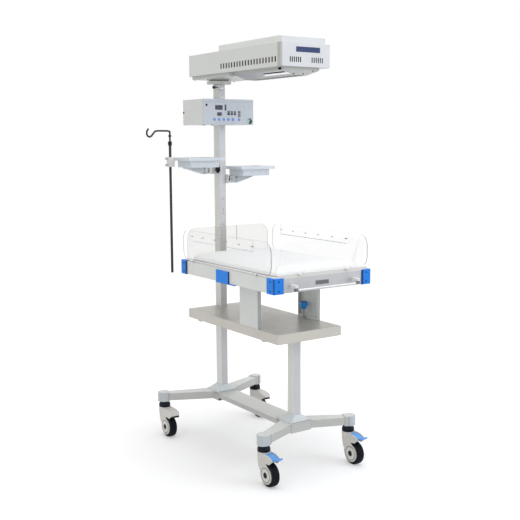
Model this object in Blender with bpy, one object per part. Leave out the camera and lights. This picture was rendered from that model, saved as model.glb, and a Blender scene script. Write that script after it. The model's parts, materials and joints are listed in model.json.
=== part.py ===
"""Infant radiant warmer: a wheeled stand with a tilting bed, a swivelling hood, two trays and an IV pole.

Metres, +Z up. The foot end of the bed faces -Y and the rear column stands at +Y.
Everything is drawn about the plane through the column's middle, then stood on the origin at the end.
"""

import math

import bmesh
import bpy
from mathutils import Matrix, Vector

# Clearances and working values
GAP = 0.0003
LAP = 0.002
OVERRUN = 0.006
SMOOTH_ANGLE = math.radians(35)
SMALL_ANGLE = math.radians(0.1)
ROUND_STEPS = 16
FINE_STEPS = 24
CORNER_STEPS = 5
SIDES = {"left": -1, "right": 1}

# Casters
WHEEL_RADIUS = 0.050
WHEEL_TRAIL = 0.042
TYRE_WIDTH = 0.032
TYRE_DEPTH = 0.0157
CROWN_CLEARANCE = 0.004
CROWN_HEIGHT = 0.033
RING_HEIGHT = 0.0257
RING_RADIUS = 0.026
FRONT_STEM_X = 0.222
FRONT_STEM_Y = -0.3635
REAR_STEM_X = 0.259
REAR_STEM_Y = 0.416

# Stand
LEG_HEIGHT = 0.042
COLUMN_WIDTH = 0.034
COLUMN_DEPTH = 0.048
COLUMN_Y = 0.312
COLUMN_LENGTH = 1.4607
POST_Y = -0.270
POST_LENGTH = 0.4244
SOCKET_DEPTH = 0.022
SHELF_HALF = 0.164
SHELF_FRONT = -0.382
SHELF_HEIGHT = 0.041
SHELF_PLATE = 0.003
SHELF_WALL = 0.002
SUPPORT_Y = -0.1695
SUPPORT_WIDTH = 0.137
SUPPORT_DEPTH = 0.018
SUPPORT_HEIGHT = 0.2007
SUPPORT_WALL = 0.0025

# Bed
SHAFT_RADIUS = 0.006
SHAFT_BELOW_TOP = 0.012
RAIL_BELOW_AXIS = 0.003
RAIL_HEIGHT = 0.058
RAIL_WIDTH = 0.025
BED_HALF = 0.243
BED_FRONT = -0.468
BED_REAR = 0.252
DECK_THICK = 0.004
MATTRESS_SIDE_INSET = 0.018
MATTRESS_HEIGHT = 0.0372
PANEL_THICK = 0.005
PANEL_CORNER = 0.045
PANEL_TOP_ABOVE_RAIL = 0.143

# Hood
FLANGE_RADIUS = 0.0565
FLANGE_THICK = 0.0137
HOOD_HALF = 0.125
HOOD_FRONT = -0.349
HOOD_REAR = 0.373
HOOD_HEIGHT = 0.093
HOOD_WALL = 0.002
COVER_HEIGHT = 0.0287
PAN_DROP = 0.0167

# Control box
CASE_LEFT = -0.172
CASE_RIGHT = 0.0915
CASE_FRONT = 0.166
CASE_REAR = 0.347
CASE_BELOW_TOP = 0.186
CASE_HEIGHT = 0.113
CASE_WALL = 0.0025
PANEL_PLATE = 0.005

# Trays
TRAY_INNER = 0.045
TRAY_OUTER = 0.232
TRAY_FRONT = 0.195
TRAY_REAR = 0.345
TRAY_RIM = 0.014
TRAY_DEPTH = 0.0445
ARM_HEIGHT = 0.0337

# Heights of the tray arms, as shares of the way from the panels' top to the control box
ARM_SHARES = {"left": 0.515, "right": 0.42}

# IV pole
POLE_X = -0.250
POLE_Y = 0.333
POLE_ABOVE_CLAMP = 0.0625
POLE_TUBE_LENGTH = 0.589
POLE_TUBE_RADIUS = 0.006
POLE_ROD_RADIUS = 0.0042

# Heights that follow from the sizes above
CROWN_BOTTOM = 2 * WHEEL_RADIUS + CROWN_CLEARANCE
FORK_TOP = CROWN_BOTTOM + CROWN_HEIGHT
LEG_BOTTOM = FORK_TOP + RING_HEIGHT + GAP
LEG_TOP = LEG_BOTTOM + LEG_HEIGHT
SOCKET_FLOOR = LEG_TOP - SOCKET_DEPTH
COLUMN_TOP = SOCKET_FLOOR + GAP + COLUMN_LENGTH
POST_TOP = SOCKET_FLOOR + GAP + POST_LENGTH
SHELF_TOP = POST_TOP + GAP + SHELF_PLATE
SHELF_BOTTOM = SHELF_TOP - SHELF_HEIGHT
SHELF_REAR = COLUMN_Y + COLUMN_DEPTH / 2
SUPPORT_TOP = SHELF_TOP + GAP + SUPPORT_HEIGHT
TILT_Z = SUPPORT_TOP - SHAFT_BELOW_TOP
RAIL_BOTTOM = TILT_Z - RAIL_BELOW_AXIS
RAIL_TOP = RAIL_BOTTOM + RAIL_HEIGHT
DECK_BOTTOM = RAIL_TOP + GAP
DECK_TOP = DECK_BOTTOM + DECK_THICK
PANEL_TOP = RAIL_TOP + PANEL_TOP_ABOVE_RAIL
CASE_BOTTOM = COLUMN_TOP - CASE_BELOW_TOP
ARM_BOTTOMS = {name: PANEL_TOP + share * (CASE_BOTTOM - PANEL_TOP) for name, share in ARM_SHARES.items()}
TILT_AXIS = (0, SUPPORT_Y, TILT_Z)
MATTRESS_HALF = BED_HALF - MATTRESS_SIDE_INSET

# Colours, as (red, green, blue, roughness, metallic)
FINISHES = {
    "cream_paint": (0.80, 0.81, 0.78, 0.35, 0.0),
    "tray_paint": (0.78, 0.81, 0.84, 0.35, 0.0),
    "aluminium": (0.62, 0.62, 0.66, 0.35, 0.9),
    "shelf_steel": (0.58, 0.55, 0.52, 0.4, 0.6),
    "steel": (0.66, 0.66, 0.67, 0.25, 1.0),
    "blue_plastic": (0.03, 0.22, 0.75, 0.35, 0.0),
    "pedal_blue": (0.10, 0.34, 0.80, 0.4, 0.0),
    "clear_acrylic": (0.90, 0.93, 0.96, 0.08, 0.0),
    "mattress_cover": (0.86, 0.88, 0.90, 0.6, 0.0),
    "caster_grey": (0.52, 0.49, 0.45, 0.45, 0.0),
    "black_plastic": (0.02, 0.02, 0.025, 0.4, 0.0),
    "tyre_rubber": (0.015, 0.015, 0.017, 0.7, 0.0),
    "reflector": (0.80, 0.80, 0.82, 0.12, 1.0),
    "quartz": (0.85, 0.75, 0.68, 0.25, 0.0),
    "green_plastic": (0.05, 0.55, 0.25, 0.3, 0.0),
    "white_plastic": (0.85, 0.85, 0.84, 0.4, 0.0),
}


# Scene and materials
def clear_scene():
    for obj in list(bpy.data.objects):
        bpy.data.objects.remove(obj, do_unlink=True)


def material(name):
    """The Principled material of a finish, made once."""
    found = bpy.data.materials.get(name)
    if found:
        return found
    red, green, blue, roughness, metallic = FINISHES[name]
    made = bpy.data.materials.new(name)
    made.use_nodes = True
    shader = made.node_tree.nodes["Principled BSDF"]
    shader.inputs["Base Color"].default_value = (red, green, blue, 1)
    shader.inputs["Roughness"].default_value = roughness
    shader.inputs["Metallic"].default_value = metallic
    if name == "clear_acrylic":
        shader.inputs["Alpha"].default_value = 0.3
    return made


# Shapes, drawn in the stand's own coordinates
def block(x0, x1, y0, y1, z0, z1):
    """A box between two values along each axis, given in either order."""
    x0, x1 = sorted((x0, x1))
    shape = bmesh.new()
    bmesh.ops.create_cube(shape, size=1)
    for vert in shape.verts:
        vert.co.x = x1 if vert.co.x > 0 else x0
        vert.co.y = y1 if vert.co.y > 0 else y0
        vert.co.z = z1 if vert.co.z > 0 else z0
    return shape


def lofted(rings, closed=False):
    """Rings of as many points each, bridged in turn, with flat ends or closed on themselves."""
    shape = bmesh.new()
    loops = [[shape.verts.new(point) for point in ring] for ring in rings]
    pairs = list(zip(loops, loops[1:]))
    if closed:
        pairs.append((loops[-1], loops[0]))
    for below, above in pairs:
        count = len(below)
        for i in range(count):
            j = (i + 1) % count
            shape.faces.new((below[i], below[j], above[j], above[i]))
    if not closed:
        shape.faces.new(loops[0])
        shape.faces.new(loops[-1])
    bmesh.ops.recalc_face_normals(shape, faces=shape.faces)
    return shape


def prism(outline, low, high, axis="Z"):
    """An outline pulled along an axis: (x, y) points along Z, (y, z) along X, (x, z) along Y."""
    low, high = sorted((low, high))
    place = {
        "Z": lambda a, b, c: (a, b, c),
        "X": lambda a, b, c: (c, a, b),
        "Y": lambda a, b, c: (a, c, b),
    }[axis]
    return lofted([[place(a, b, c) for a, b in outline] for c in (low, high)])


def turned(profile, centre, axis="Z", steps=ROUND_STEPS, bored=False):
    """A profile of (radius, height above centre) turned about an axis through centre."""
    along = {"X": Vector((1, 0, 0)), "Y": Vector((0, 1, 0)), "Z": Vector((0, 0, 1))}[axis]
    across = {"X": Vector((0, 1, 0)), "Y": Vector((0, 0, 1)), "Z": Vector((1, 0, 0))}[axis]
    third = along.cross(across)
    rings = []
    for radius, height in profile:
        ring = []
        for i in range(steps):
            angle = 2 * math.pi * i / steps
            spoke = across * math.cos(angle) + third * math.sin(angle)
            ring.append(Vector(centre) + along * height + spoke * radius)
        rings.append(ring)
    return lofted(rings, closed=bored)


def rod(start, end, radius, steps=ROUND_STEPS):
    """A round bar between two points."""
    return swept([start, end], radius, steps)


def swept(points, radius, steps=ROUND_STEPS):
    """A round bar along a row of points, mitred at each bend."""
    points = [Vector(point) for point in points]
    runs = [(b - a).normalized() for a, b in zip(points, points[1:])]
    side = runs[0].orthogonal().normalized()
    rings = []
    for i, point in enumerate(points):
        before = runs[max(i - 1, 0)]
        after = runs[min(i, len(runs) - 1)]
        tangent = (before + after).normalized()
        side = (side - tangent * side.dot(tangent)).normalized()
        other = tangent.cross(side)
        stretch = 1 / max(tangent.dot(after), 0.5)
        straight = before.angle(after) < SMALL_ANGLE
        fold = side if straight else (after - before).normalized()
        ring = []
        for k in range(steps):
            angle = 2 * math.pi * k / steps
            spoke = (side * math.cos(angle) + other * math.sin(angle)) * radius
            outward = fold - tangent * fold.dot(tangent)
            if outward.length > 0 and stretch > 1:
                outward.normalize()
                spoke += outward * spoke.dot(outward) * (stretch - 1)
            ring.append(point + spoke)
        rings.append(ring)
    return lofted(rings)


def rounded(x0, x1, y0, y1, radius, steps=CORNER_STEPS):
    """The outline of a rectangle with round corners."""
    x0, x1 = sorted((x0, x1))
    centres = ((x1 - radius, y1 - radius), (x0 + radius, y1 - radius))
    centres += ((x0 + radius, y0 + radius), (x1 - radius, y0 + radius))
    outline = []
    for turn, (x, y) in enumerate(centres):
        for i in range(steps + 1):
            angle = (turn + i / steps) * math.pi / 2
            outline.append((x + radius * math.cos(angle), y + radius * math.sin(angle)))
    return outline


def frustum(x, y, z0, half0, z1, half1):
    """A four-sided pyramid without its tip. Each half is (across X, across Y)."""
    rings = []
    for z, (across, along) in ((z0, half0), (z1, half1)):
        corners = ((1, 1), (-1, 1), (-1, -1), (1, -1))
        rings.append([(x + across * a, y + along * b, z) for a, b in corners])
    return lofted(rings)


def mesh_of(name, shape, origin):
    """The shape as a mesh measured from the object's origin, with its round faces smooth."""
    shape.transform(Matrix.Translation(-Vector(origin)))
    mesh = bpy.data.meshes.new(name)
    shape.to_mesh(mesh)
    shape.free()
    mesh.shade_smooth()
    mesh.set_sharp_from_angle(angle=SMOOTH_ANGLE)
    return mesh


def place_of(obj):
    """Where an unturned object stands, through its parents."""
    place = Vector()
    while obj:
        place += obj.location
        obj = obj.parent
    return place


def piece(name, shape, finish, origin=(0, 0, 0), parent=None, joins=(), cuts=(), last_joins=(), last_cuts=()):
    """One named sub-part: a shape with joins, then cuts, then last_joins, then last_cuts."""
    parent = parent or ROOT
    obj = bpy.data.objects.new(name, mesh_of(name, shape, origin))
    obj.data.materials.append(material(finish))
    bpy.context.scene.collection.objects.link(obj)
    obj.parent = parent
    obj.location = Vector(origin) - place_of(parent)
    steps = [("UNION", other) for other in joins] + [("DIFFERENCE", other) for other in cuts]
    steps += [("UNION", other) for other in last_joins] + [("DIFFERENCE", other) for other in last_cuts]
    for i, (operation, other) in enumerate(steps):
        helper_name = f"{name}_{operation.lower()}_{i}"
        helper = bpy.data.objects.new(helper_name, mesh_of(helper_name, other, origin))
        bpy.context.scene.collection.objects.link(helper)
        helper.parent = obj
        helper.hide_render = True
        helper.display_type = "WIRE"
        modifier = obj.modifiers.new(helper_name, "BOOLEAN")
        modifier.operation = operation
        modifier.solver = "EXACT"
        modifier.object = helper
    return obj


# Base
SPINE_HALF = 0.051
SPINE_RISE = 0.0135
SPINE_THICK = 0.023
HUB_HALF = 0.0518
LEG_HUB_HALF = 0.0375
FRONT_LEG_BACK = 0.012
LEG_END_HALF = 0.022
LEG_RISE = 0.005
CAP_HALF = 0.0235
CAP_BEYOND = 0.028
CAP_INWARD = 0.020
CAP_ABOVE = 0.002
SKIRT_HALF = 0.0525
SKIRT_HEIGHT = 0.026
SKIRT_LIP = 0.002
STEM_RADIUS = 0.006
STEM_LENGTH = 0.022
STEMS = {
    "front_left": (-FRONT_STEM_X, FRONT_STEM_Y),
    "front_right": (FRONT_STEM_X, FRONT_STEM_Y),
    "rear_left": (-REAR_STEM_X, REAR_STEM_Y),
    "rear_right": (REAR_STEM_X, REAR_STEM_Y),
}


def leg_outline(start, stem, start_half, end_half, beyond):
    """A leg from start to past its stem, tapering to a round end, seen from above."""
    start = Vector(start)
    stem = Vector(stem)
    run = (stem - start).normalized()
    side = Vector((-run.y, run.x))
    tip = stem + run * (beyond - end_half)
    outline = [start - side * start_half]
    for i in range(2 * CORNER_STEPS + 1):
        angle = math.pi * (i / (2 * CORNER_STEPS) - 1 / 2)
        outline.append(tip + run * math.cos(angle) * end_half + side * math.sin(angle) * end_half)
    outline.append(start + side * start_half)
    return outline


def make_base():
    """The spine, four legs with their end caps, and a socket under a skirt for each post."""
    spine_bottom = LEG_BOTTOM + SPINE_RISE
    spine = block(-SPINE_HALF, SPINE_HALF, POST_Y, COLUMN_Y, spine_bottom, spine_bottom + SPINE_THICK)
    joins = []
    cuts = []
    for stem_name, stem in STEMS.items():
        root_y = COLUMN_Y if stem_name.startswith("rear") else POST_Y + FRONT_LEG_BACK
        outline = leg_outline((0, root_y), stem, LEG_HUB_HALF, LEG_END_HALF, CAP_BEYOND - LAP)
        joins.append(prism(outline, LEG_BOTTOM + LEG_RISE, LEG_TOP - CAP_ABOVE))
        run = (Vector(stem) - Vector((0, root_y))).normalized()
        cap_start = Vector(stem) - run * CAP_INWARD
        outline = leg_outline(cap_start, stem, CAP_HALF, CAP_HALF, CAP_BEYOND)
        joins.append(prism(outline, LEG_BOTTOM, LEG_TOP + CAP_ABOVE))
        cuts.append(
            rod(
                (*stem, LEG_BOTTOM - OVERRUN),
                (*stem, LEG_BOTTOM + STEM_LENGTH + GAP),
                STEM_RADIUS + GAP,
            )
        )
    for y in (POST_Y, COLUMN_Y):
        joins.append(block(-HUB_HALF, HUB_HALF, y - HUB_HALF, y + HUB_HALF, LEG_BOTTOM, LEG_TOP))
        top_half = (COLUMN_WIDTH / 2 + SKIRT_LIP, COLUMN_DEPTH / 2 + SKIRT_LIP)
        joins.append(
            frustum(0, y, LEG_TOP - LAP - GAP, (SKIRT_HALF, SKIRT_HALF), LEG_TOP + SKIRT_HEIGHT, top_half)
        )
        across = COLUMN_WIDTH / 2 + GAP
        along = COLUMN_DEPTH / 2 + GAP
        top = LEG_TOP + SKIRT_HEIGHT + OVERRUN
        cuts.append(block(-across, across, y - along, y + along, SOCKET_FLOOR, top))
    piece("base_frame", spine, "cream_paint", joins=joins, cuts=cuts)


# Posts and shelf
SLOT_WIDTH = 0.008
SLOT_DEPTH = 0.006
HOLE_RADIUS = 0.004
HOLE_DEPTH = 0.003
# The column's holes, as shares of the way from the panels' top to the control box
COLUMN_HOLE_SHARES = (0.265, 0.157, 0.115, 0.007)
LOCK_KNOB_BELOW_TOP = 0.014
LOCK_SHANK_RADIUS = 0.0025
LOCK_SHANK_DEPTH = 0.005
TAB_HALF = 0.010
TAB_WIDTH = 0.014
TAB_DROP = 0.006
TAB_PLACES = (0.243, -0.274)


def post_slots(y, top):
    """The upright slots in a post's two sides."""
    slots = []
    for side in SIDES.values():
        outer = side * (COLUMN_WIDTH / 2 + OVERRUN)
        inner = side * (COLUMN_WIDTH / 2 - SLOT_DEPTH)
        slots.append(
            block(outer, inner, y - SLOT_WIDTH / 2, y + SLOT_WIDTH / 2, SOCKET_FLOOR, top + OVERRUN)
        )
    return slots


def make_posts():
    """The rear column and the shorter front post, slotted extrusions standing in the base's sockets."""
    across = COLUMN_WIDTH / 2
    along = COLUMN_DEPTH / 2
    bottom = SOCKET_FLOOR + GAP
    cuts = post_slots(COLUMN_Y, COLUMN_TOP)
    front = COLUMN_Y - along
    for share in COLUMN_HOLE_SHARES:
        z = PANEL_TOP + share * (CASE_BOTTOM - PANEL_TOP)
        cuts.append(rod((0, front - OVERRUN, z), (0, front + HOLE_DEPTH, z), HOLE_RADIUS))
    lock = -across + LOCK_SHANK_DEPTH + 2 * GAP
    lock_z = COLUMN_TOP - LOCK_KNOB_BELOW_TOP
    cuts.append(
        rod(
            (-across - OVERRUN, COLUMN_Y - along / 2, lock_z),
            (lock, COLUMN_Y - along / 2, lock_z),
            LOCK_SHANK_RADIUS + GAP,
        )
    )
    column = block(-across, across, COLUMN_Y - along, COLUMN_Y + along, bottom, COLUMN_TOP)
    piece("rear_column", column, "aluminium", cuts=cuts)
    post = block(-across, across, POST_Y - along, POST_Y + along, bottom, POST_TOP)
    piece("front_post", post, "aluminium", cuts=post_slots(POST_Y, POST_TOP))


def make_shelf():
    """A tray turned upside down, notched round the column, with mounting tabs under its sides."""
    inner = SHELF_HALF - SHELF_WALL
    shelf = block(-SHELF_HALF, SHELF_HALF, SHELF_FRONT, SHELF_REAR, SHELF_BOTTOM, SHELF_TOP)
    hollow = block(
        -inner,
        inner,
        SHELF_FRONT + SHELF_WALL,
        SHELF_REAR - SHELF_WALL,
        SHELF_BOTTOM - OVERRUN,
        SHELF_TOP - SHELF_PLATE,
    )
    notch_half = COLUMN_WIDTH / 2 + GAP
    notch = block(
        -notch_half,
        notch_half,
        COLUMN_Y - COLUMN_DEPTH / 2 - GAP,
        SHELF_REAR + OVERRUN,
        SHELF_BOTTOM - OVERRUN,
        SHELF_TOP + OVERRUN,
    )
    tabs = []
    for side in SIDES.values():
        for y in TAB_PLACES:
            tabs.append(
                block(
                    side * SHELF_HALF - side * SHELF_WALL / 2,
                    side * (SHELF_HALF - TAB_WIDTH),
                    y - TAB_HALF,
                    y + TAB_HALF,
                    SHELF_BOTTOM - TAB_DROP,
                    SHELF_BOTTOM + LAP,
                )
            )
    piece("lower_shelf", shelf, "shelf_steel", cuts=[hollow, notch], last_joins=tabs)


# Supports and the tilt release
FOOT_HEIGHT = 0.010
RELEASE_INSET = 0.0265
RELEASE_X = SHELF_HALF - RELEASE_INSET
RELEASE_Y = -0.155
GUIDE_RADIUS = 0.004
GUIDE_FOOT_RADIUS = 0.008
GUIDE_FOOT_HEIGHT = 0.011
GUIDE_LENGTH = 0.0567
KNOB_RISE = 0.0407
KNOB_HEIGHT = 0.035
KNOB_RADIUS = 0.0165
KNOB_NECK_RADIUS = 0.011
KNOB_ROOF = 0.005
BAIL_WIRE_RADIUS = 0.0009
BAIL_STEM = 0.0205
BAIL_RISE = 0.070
BAIL_HALF = 0.0113
BAIL_SEAT = 0.003
BAIL_EYE = 0.014
SHAFT_PROUD = 0.001


def make_supports():
    """Two upright channels open towards each other, and the shaft that the bed tilts on."""
    front = SUPPORT_Y - SUPPORT_WIDTH / 2
    rear = SUPPORT_Y + SUPPORT_WIDTH / 2
    bottom = SHELF_TOP + GAP
    for name, side in SIDES.items():
        outer = side * SHELF_HALF
        channel = block(outer, outer - side * SUPPORT_DEPTH, front, rear, bottom, SUPPORT_TOP)
        hollow = block(
            outer - side * SUPPORT_WALL,
            outer - side * (SUPPORT_DEPTH + OVERRUN),
            front + SUPPORT_WALL,
            rear - SUPPORT_WALL,
            bottom + FOOT_HEIGHT,
            SUPPORT_TOP + OVERRUN,
        )
        bore = rod(
            (outer + side * OVERRUN, SUPPORT_Y, TILT_Z),
            (outer - side * (SUPPORT_WALL + OVERRUN), SUPPORT_Y, TILT_Z),
            SHAFT_RADIUS + GAP,
        )
        piece(f"support_{name}", channel, "cream_paint", cuts=[hollow, bore])
    end = SHELF_HALF + SHAFT_PROUD
    piece("tilt_shaft", rod((-end, SUPPORT_Y, TILT_Z), (end, SUPPORT_Y, TILT_Z), SHAFT_RADIUS), "steel")


def make_release():
    """The guide rod on the shelf, and the knob that slides down on it with its wire bail."""
    base = SHELF_TOP + GAP
    centre = (RELEASE_X, RELEASE_Y, base)
    profile = (
        (GUIDE_FOOT_RADIUS, 0),
        (GUIDE_FOOT_RADIUS, GUIDE_FOOT_HEIGHT / 2),
        (GUIDE_RADIUS, GUIDE_FOOT_HEIGHT),
        (GUIDE_RADIUS, GUIDE_LENGTH),
    )
    piece("tilt_guide_rod", turned(profile, centre), "black_plastic")
    knob_base = base + KNOB_RISE
    profile = (
        (KNOB_NECK_RADIUS, 0),
        (KNOB_NECK_RADIUS, KNOB_HEIGHT / 3),
        (KNOB_RADIUS, KNOB_HEIGHT / 2),
        (KNOB_RADIUS, KNOB_HEIGHT - KNOB_ROOF),
        (KNOB_NECK_RADIUS, KNOB_HEIGHT),
    )
    origin = (RELEASE_X, RELEASE_Y, knob_base)
    knob_top = knob_base + KNOB_HEIGHT
    seat = knob_top - BAIL_SEAT
    cuts = [
        rod((*origin[:2], knob_base - OVERRUN), (*origin[:2], knob_top - KNOB_ROOF), GUIDE_RADIUS + GAP),
        rod((*origin[:2], seat), (*origin[:2], knob_top + OVERRUN), BAIL_WIRE_RADIUS * math.sqrt(2) + GAP),
    ]
    knob = piece("tilt_knob", turned(profile, origin), "blue_plastic", origin, cuts=cuts)
    fork = knob_top + BAIL_STEM
    top = fork + BAIL_RISE
    x, y = origin[:2]
    wire = BAIL_WIRE_RADIUS
    outline = [
        (x - wire, seat + GAP),
        (x + wire, seat + GAP),
        (x + wire, fork),
        (x + BAIL_HALF + wire, top + wire),
        (x - BAIL_HALF - wire, top + wire),
        (x - wire, fork),
    ]
    inside = [
        (x, fork + BAIL_EYE),
        (x + BAIL_HALF - wire - LAP / 2, top - wire),
        (x - BAIL_HALF + wire + LAP / 2, top - wire),
    ]
    bail = prism(outline, y - wire, y + wire, "Y")
    eye = prism(inside, y - OVERRUN, y + OVERRUN, "Y")
    piece("tilt_wire", bail, "white_plastic", origin, knob, cuts=[eye])


# Casters
FORK_HALF = 0.022
CHEEK = 0.0042
CHEEK_DISC = 0.034
HEAD_INSET = 0.0005
AXLE_RADIUS = 0.006
AXLE_PROUD = 0.0006
HUB_FACE = 0.0025
HUB_BOSS = 0.012
TYRE_ROUND = 0.004
EAR_REAR = -0.022
EAR_DROP = 0.024
PEDAL_PIVOT_Y = -0.036
PEDAL_PIVOT_DROP = 0.013
PEDAL_PIN_RADIUS = 0.003
PEDAL_ROOT = 0.0095
PEDAL_TOP = 0.0105
PEDAL_HALF = 0.0168
PEDAL_SHOULDER_Y = -0.050
PEDAL_TIP_Y = -0.100
# Side outlines, as shares of the wheel's radius from the stem and of the fork's height from the floor
FORK_REAR_SHARES = ((0.30, 1.0), (0.28, 0.76), (0.17, 0.53), (-0.08, 0.42), (-1.40, 0.36), (-1.44, 0.46))
FORK_SIDE_SHARES = ((-1.20, 0.60), (-0.92, 0.70), (-1.60, 0.705), (-1.80, 0.79))
PEDAL_NOSE_SHARES = ((-1.86, 0.87), (-1.50, 0.96), (-1.0, 1.0))
GUARD_NOSE_SHARES = (
    (-2.05, 0.83),
    (-2.26, 0.85),
    (-2.32, 0.88),
    (-2.20, 0.91),
    (-1.88, 0.955),
    (-1.45, 0.99),
    (-1.2, 1.0),
)


def fork_outline(stem_y, nose):
    shares = FORK_REAR_SHARES + FORK_SIDE_SHARES + nose
    return [(stem_y + y * WHEEL_RADIUS, z * FORK_TOP) for y, z in shares]


def make_fork(name, stem, braked):
    """The swivelling fork: a swivel ring with its stem, a round head, a crown over the tyre and two cheeks."""
    x, y = stem
    axle_y = y - WHEEL_TRAIL
    outline = fork_outline(y, PEDAL_NOSE_SHARES if braked else GUARD_NOSE_SHARES)
    body = prism(outline, x - FORK_HALF, x + FORK_HALF, "X")
    well = FORK_HALF - CHEEK
    axle = (0, axle_y, WHEEL_RADIUS)
    disc = rod((x - FORK_HALF, *axle[1:]), (x + FORK_HALF, *axle[1:]), CHEEK_DISC, FINE_STEPS)
    head = rod((x, y, CROWN_BOTTOM), (x, y, FORK_TOP), RING_RADIUS - HEAD_INSET, FINE_STEPS)
    ring = turned(
        (
            (RING_RADIUS, -LAP),
            (RING_RADIUS, RING_HEIGHT),
            (STEM_RADIUS, RING_HEIGHT),
            (STEM_RADIUS, RING_HEIGHT + STEM_LENGTH),
        ),
        (x, y, FORK_TOP),
    )
    cuts = [
        block(x - well, x + well, axle_y - 2 * WHEEL_RADIUS, y + WHEEL_RADIUS, -OVERRUN, CROWN_BOTTOM),
        rod(
            (x - FORK_HALF - OVERRUN, *axle[1:]),
            (x + FORK_HALF + OVERRUN, *axle[1:]),
            AXLE_RADIUS + GAP,
        ),
    ]
    if braked:
        floor = FORK_TOP - EAR_DROP
        pivot_z = FORK_TOP - PEDAL_PIVOT_DROP
        front = y + PEDAL_TIP_Y
        cuts += [
            block(x - well, x + well, front, y + EAR_REAR, floor, FORK_TOP - LAP),
            block(x - well, x + well, front, y - RING_RADIUS, floor, FORK_TOP + OVERRUN),
            rod(
                (x - FORK_HALF - OVERRUN, y + PEDAL_PIVOT_Y, pivot_z),
                (x + FORK_HALF + OVERRUN, y + PEDAL_PIVOT_Y, pivot_z),
                PEDAL_PIN_RADIUS + GAP,
            ),
        ]
    return piece(f"caster_fork_{name}", body, "caster_grey", (x, y, FORK_TOP), joins=[disc, head, ring], cuts=cuts)


def make_wheel(name, stem, fork):
    """A hub on its axle, and the tyre round it."""
    x, y = stem
    centre = (x, y - WHEEL_TRAIL, WHEEL_RADIUS)
    rim = WHEEL_RADIUS - TYRE_DEPTH - GAP
    face = TYRE_WIDTH / 2 - HUB_FACE
    boss = FORK_HALF - CHEEK - GAP
    end = FORK_HALF + AXLE_PROUD
    half = ((rim, face), (HUB_BOSS, face), (HUB_BOSS, boss), (AXLE_RADIUS, boss), (AXLE_RADIUS, end))
    profile = [(radius, -place) for radius, place in reversed(half)] + list(half)
    hub_shape = turned(profile, centre, "X")
    hub = piece(f"caster_hub_{name}", hub_shape, "caster_grey", centre, fork)
    half_width = TYRE_WIDTH / 2
    inner = WHEEL_RADIUS - TYRE_DEPTH
    shoulder = half_width - TYRE_ROUND
    profile = (
        (inner, -half_width),
        (WHEEL_RADIUS - TYRE_ROUND, -half_width),
        (WHEEL_RADIUS, -shoulder),
        (WHEEL_RADIUS, shoulder),
        (WHEEL_RADIUS - TYRE_ROUND, half_width),
        (inner, half_width),
    )
    tyre = turned(profile, centre, "X", FINE_STEPS, bored=True)
    piece(f"caster_tyre_{name}", tyre, "tyre_rubber", centre, hub)


# The brake pedal's underside, as shares of its length from its pivot and of its top's rise above it
PEDAL_SHARES = (
    (-0.191, 1.0),
    (-0.40, 0.62),
    (-0.68, 0.14),
    (-0.86, 0.28),
    (-0.97, 0.62),
    (-1.0, 0.5),
    (-1.0, 0.36),
    (-0.84, 0.12),
    (-0.584, -0.22),
    (-0.191, -0.476),
)


def make_pedal(name, stem, fork):
    """The wedge that a foot presses, on a pin between the fork's ears."""
    x, y = stem
    pivot = (x, y + PEDAL_PIVOT_Y, FORK_TOP - PEDAL_PIVOT_DROP)
    length = PEDAL_PIVOT_Y - PEDAL_TIP_Y
    outline = [(pivot[1] + a * length, pivot[2] + b * PEDAL_TOP) for a, b in PEDAL_SHARES]
    plate = prism(outline, x - PEDAL_HALF, x + PEDAL_HALF, "X")
    root_half = FORK_HALF - CHEEK - 2 * GAP
    joins = [
        rod((x - root_half, *pivot[1:]), (x + root_half, *pivot[1:]), PEDAL_ROOT),
        rod((x - FORK_HALF, *pivot[1:]), (x + FORK_HALF, *pivot[1:]), PEDAL_PIN_RADIUS),
        block(
            x - root_half,
            x + root_half,
            y + PEDAL_SHOULDER_Y - LAP,
            pivot[1],
            pivot[2] + PEDAL_SHARES[-1][1] * PEDAL_TOP,
            pivot[2] + PEDAL_TOP,
        ),
    ]
    piece(f"brake_pedal_{name}", plate, "pedal_blue", pivot, fork, joins=joins)


def make_casters():
    for name, stem in STEMS.items():
        braked = name.startswith("front")
        fork = make_fork(name, stem, braked)
        make_wheel(name, stem, fork)
        if braked:
            make_pedal(name, stem, fork)


# Bed frame, deck and mattress
LIP_INSET = 0.015
LIP_HALF = BED_HALF - LIP_INSET
LIP_HEIGHT = 0.015
LIP_THICK = 0.0025
HINGE_OUT = 0.007
HINGE_RISE = 0.007
FRONT_HINGE_RISE = 0.011
KNUCKLE_RADIUS = 0.0035
KNUCKLE_HALF = 0.008
HINGE_PIN_RADIUS = 0.0015
SIDE_KNUCKLES = (0.150, -0.350)
FRONT_KNUCKLES = (-0.120, 0.120)
DECK_SIDE_INSET = 0.009
DECK_REAR_INSET = 0.018
DECK_FRONT_INSET = 0.006
EAR_HALF = 0.020
EAR_THICK = 0.009
EAR_BELOW = 0.014
CORNER_PROUD = 0.003
CORNER_ALONG_SIDE = 0.050
CORNER_ALONG_END = 0.048
CORNER_LID = 0.003
CORNER_FLOOR = 0.002
HINGE_Z = RAIL_TOP + HINGE_RISE
FRONT_HINGE_Z = RAIL_TOP + FRONT_HINGE_RISE
SIDE_HINGE_X = BED_HALF + HINGE_OUT
FRONT_HINGE_Y = BED_FRONT - HINGE_OUT
REAR_PANEL_INSET = 0.0145
REAR_PANEL_FRONT = BED_REAR - REAR_PANEL_INSET
REAR_PANEL_SIDE_INSET = 0.023
REAR_PANEL_HALF = BED_HALF - REAR_PANEL_SIDE_INSET


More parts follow.
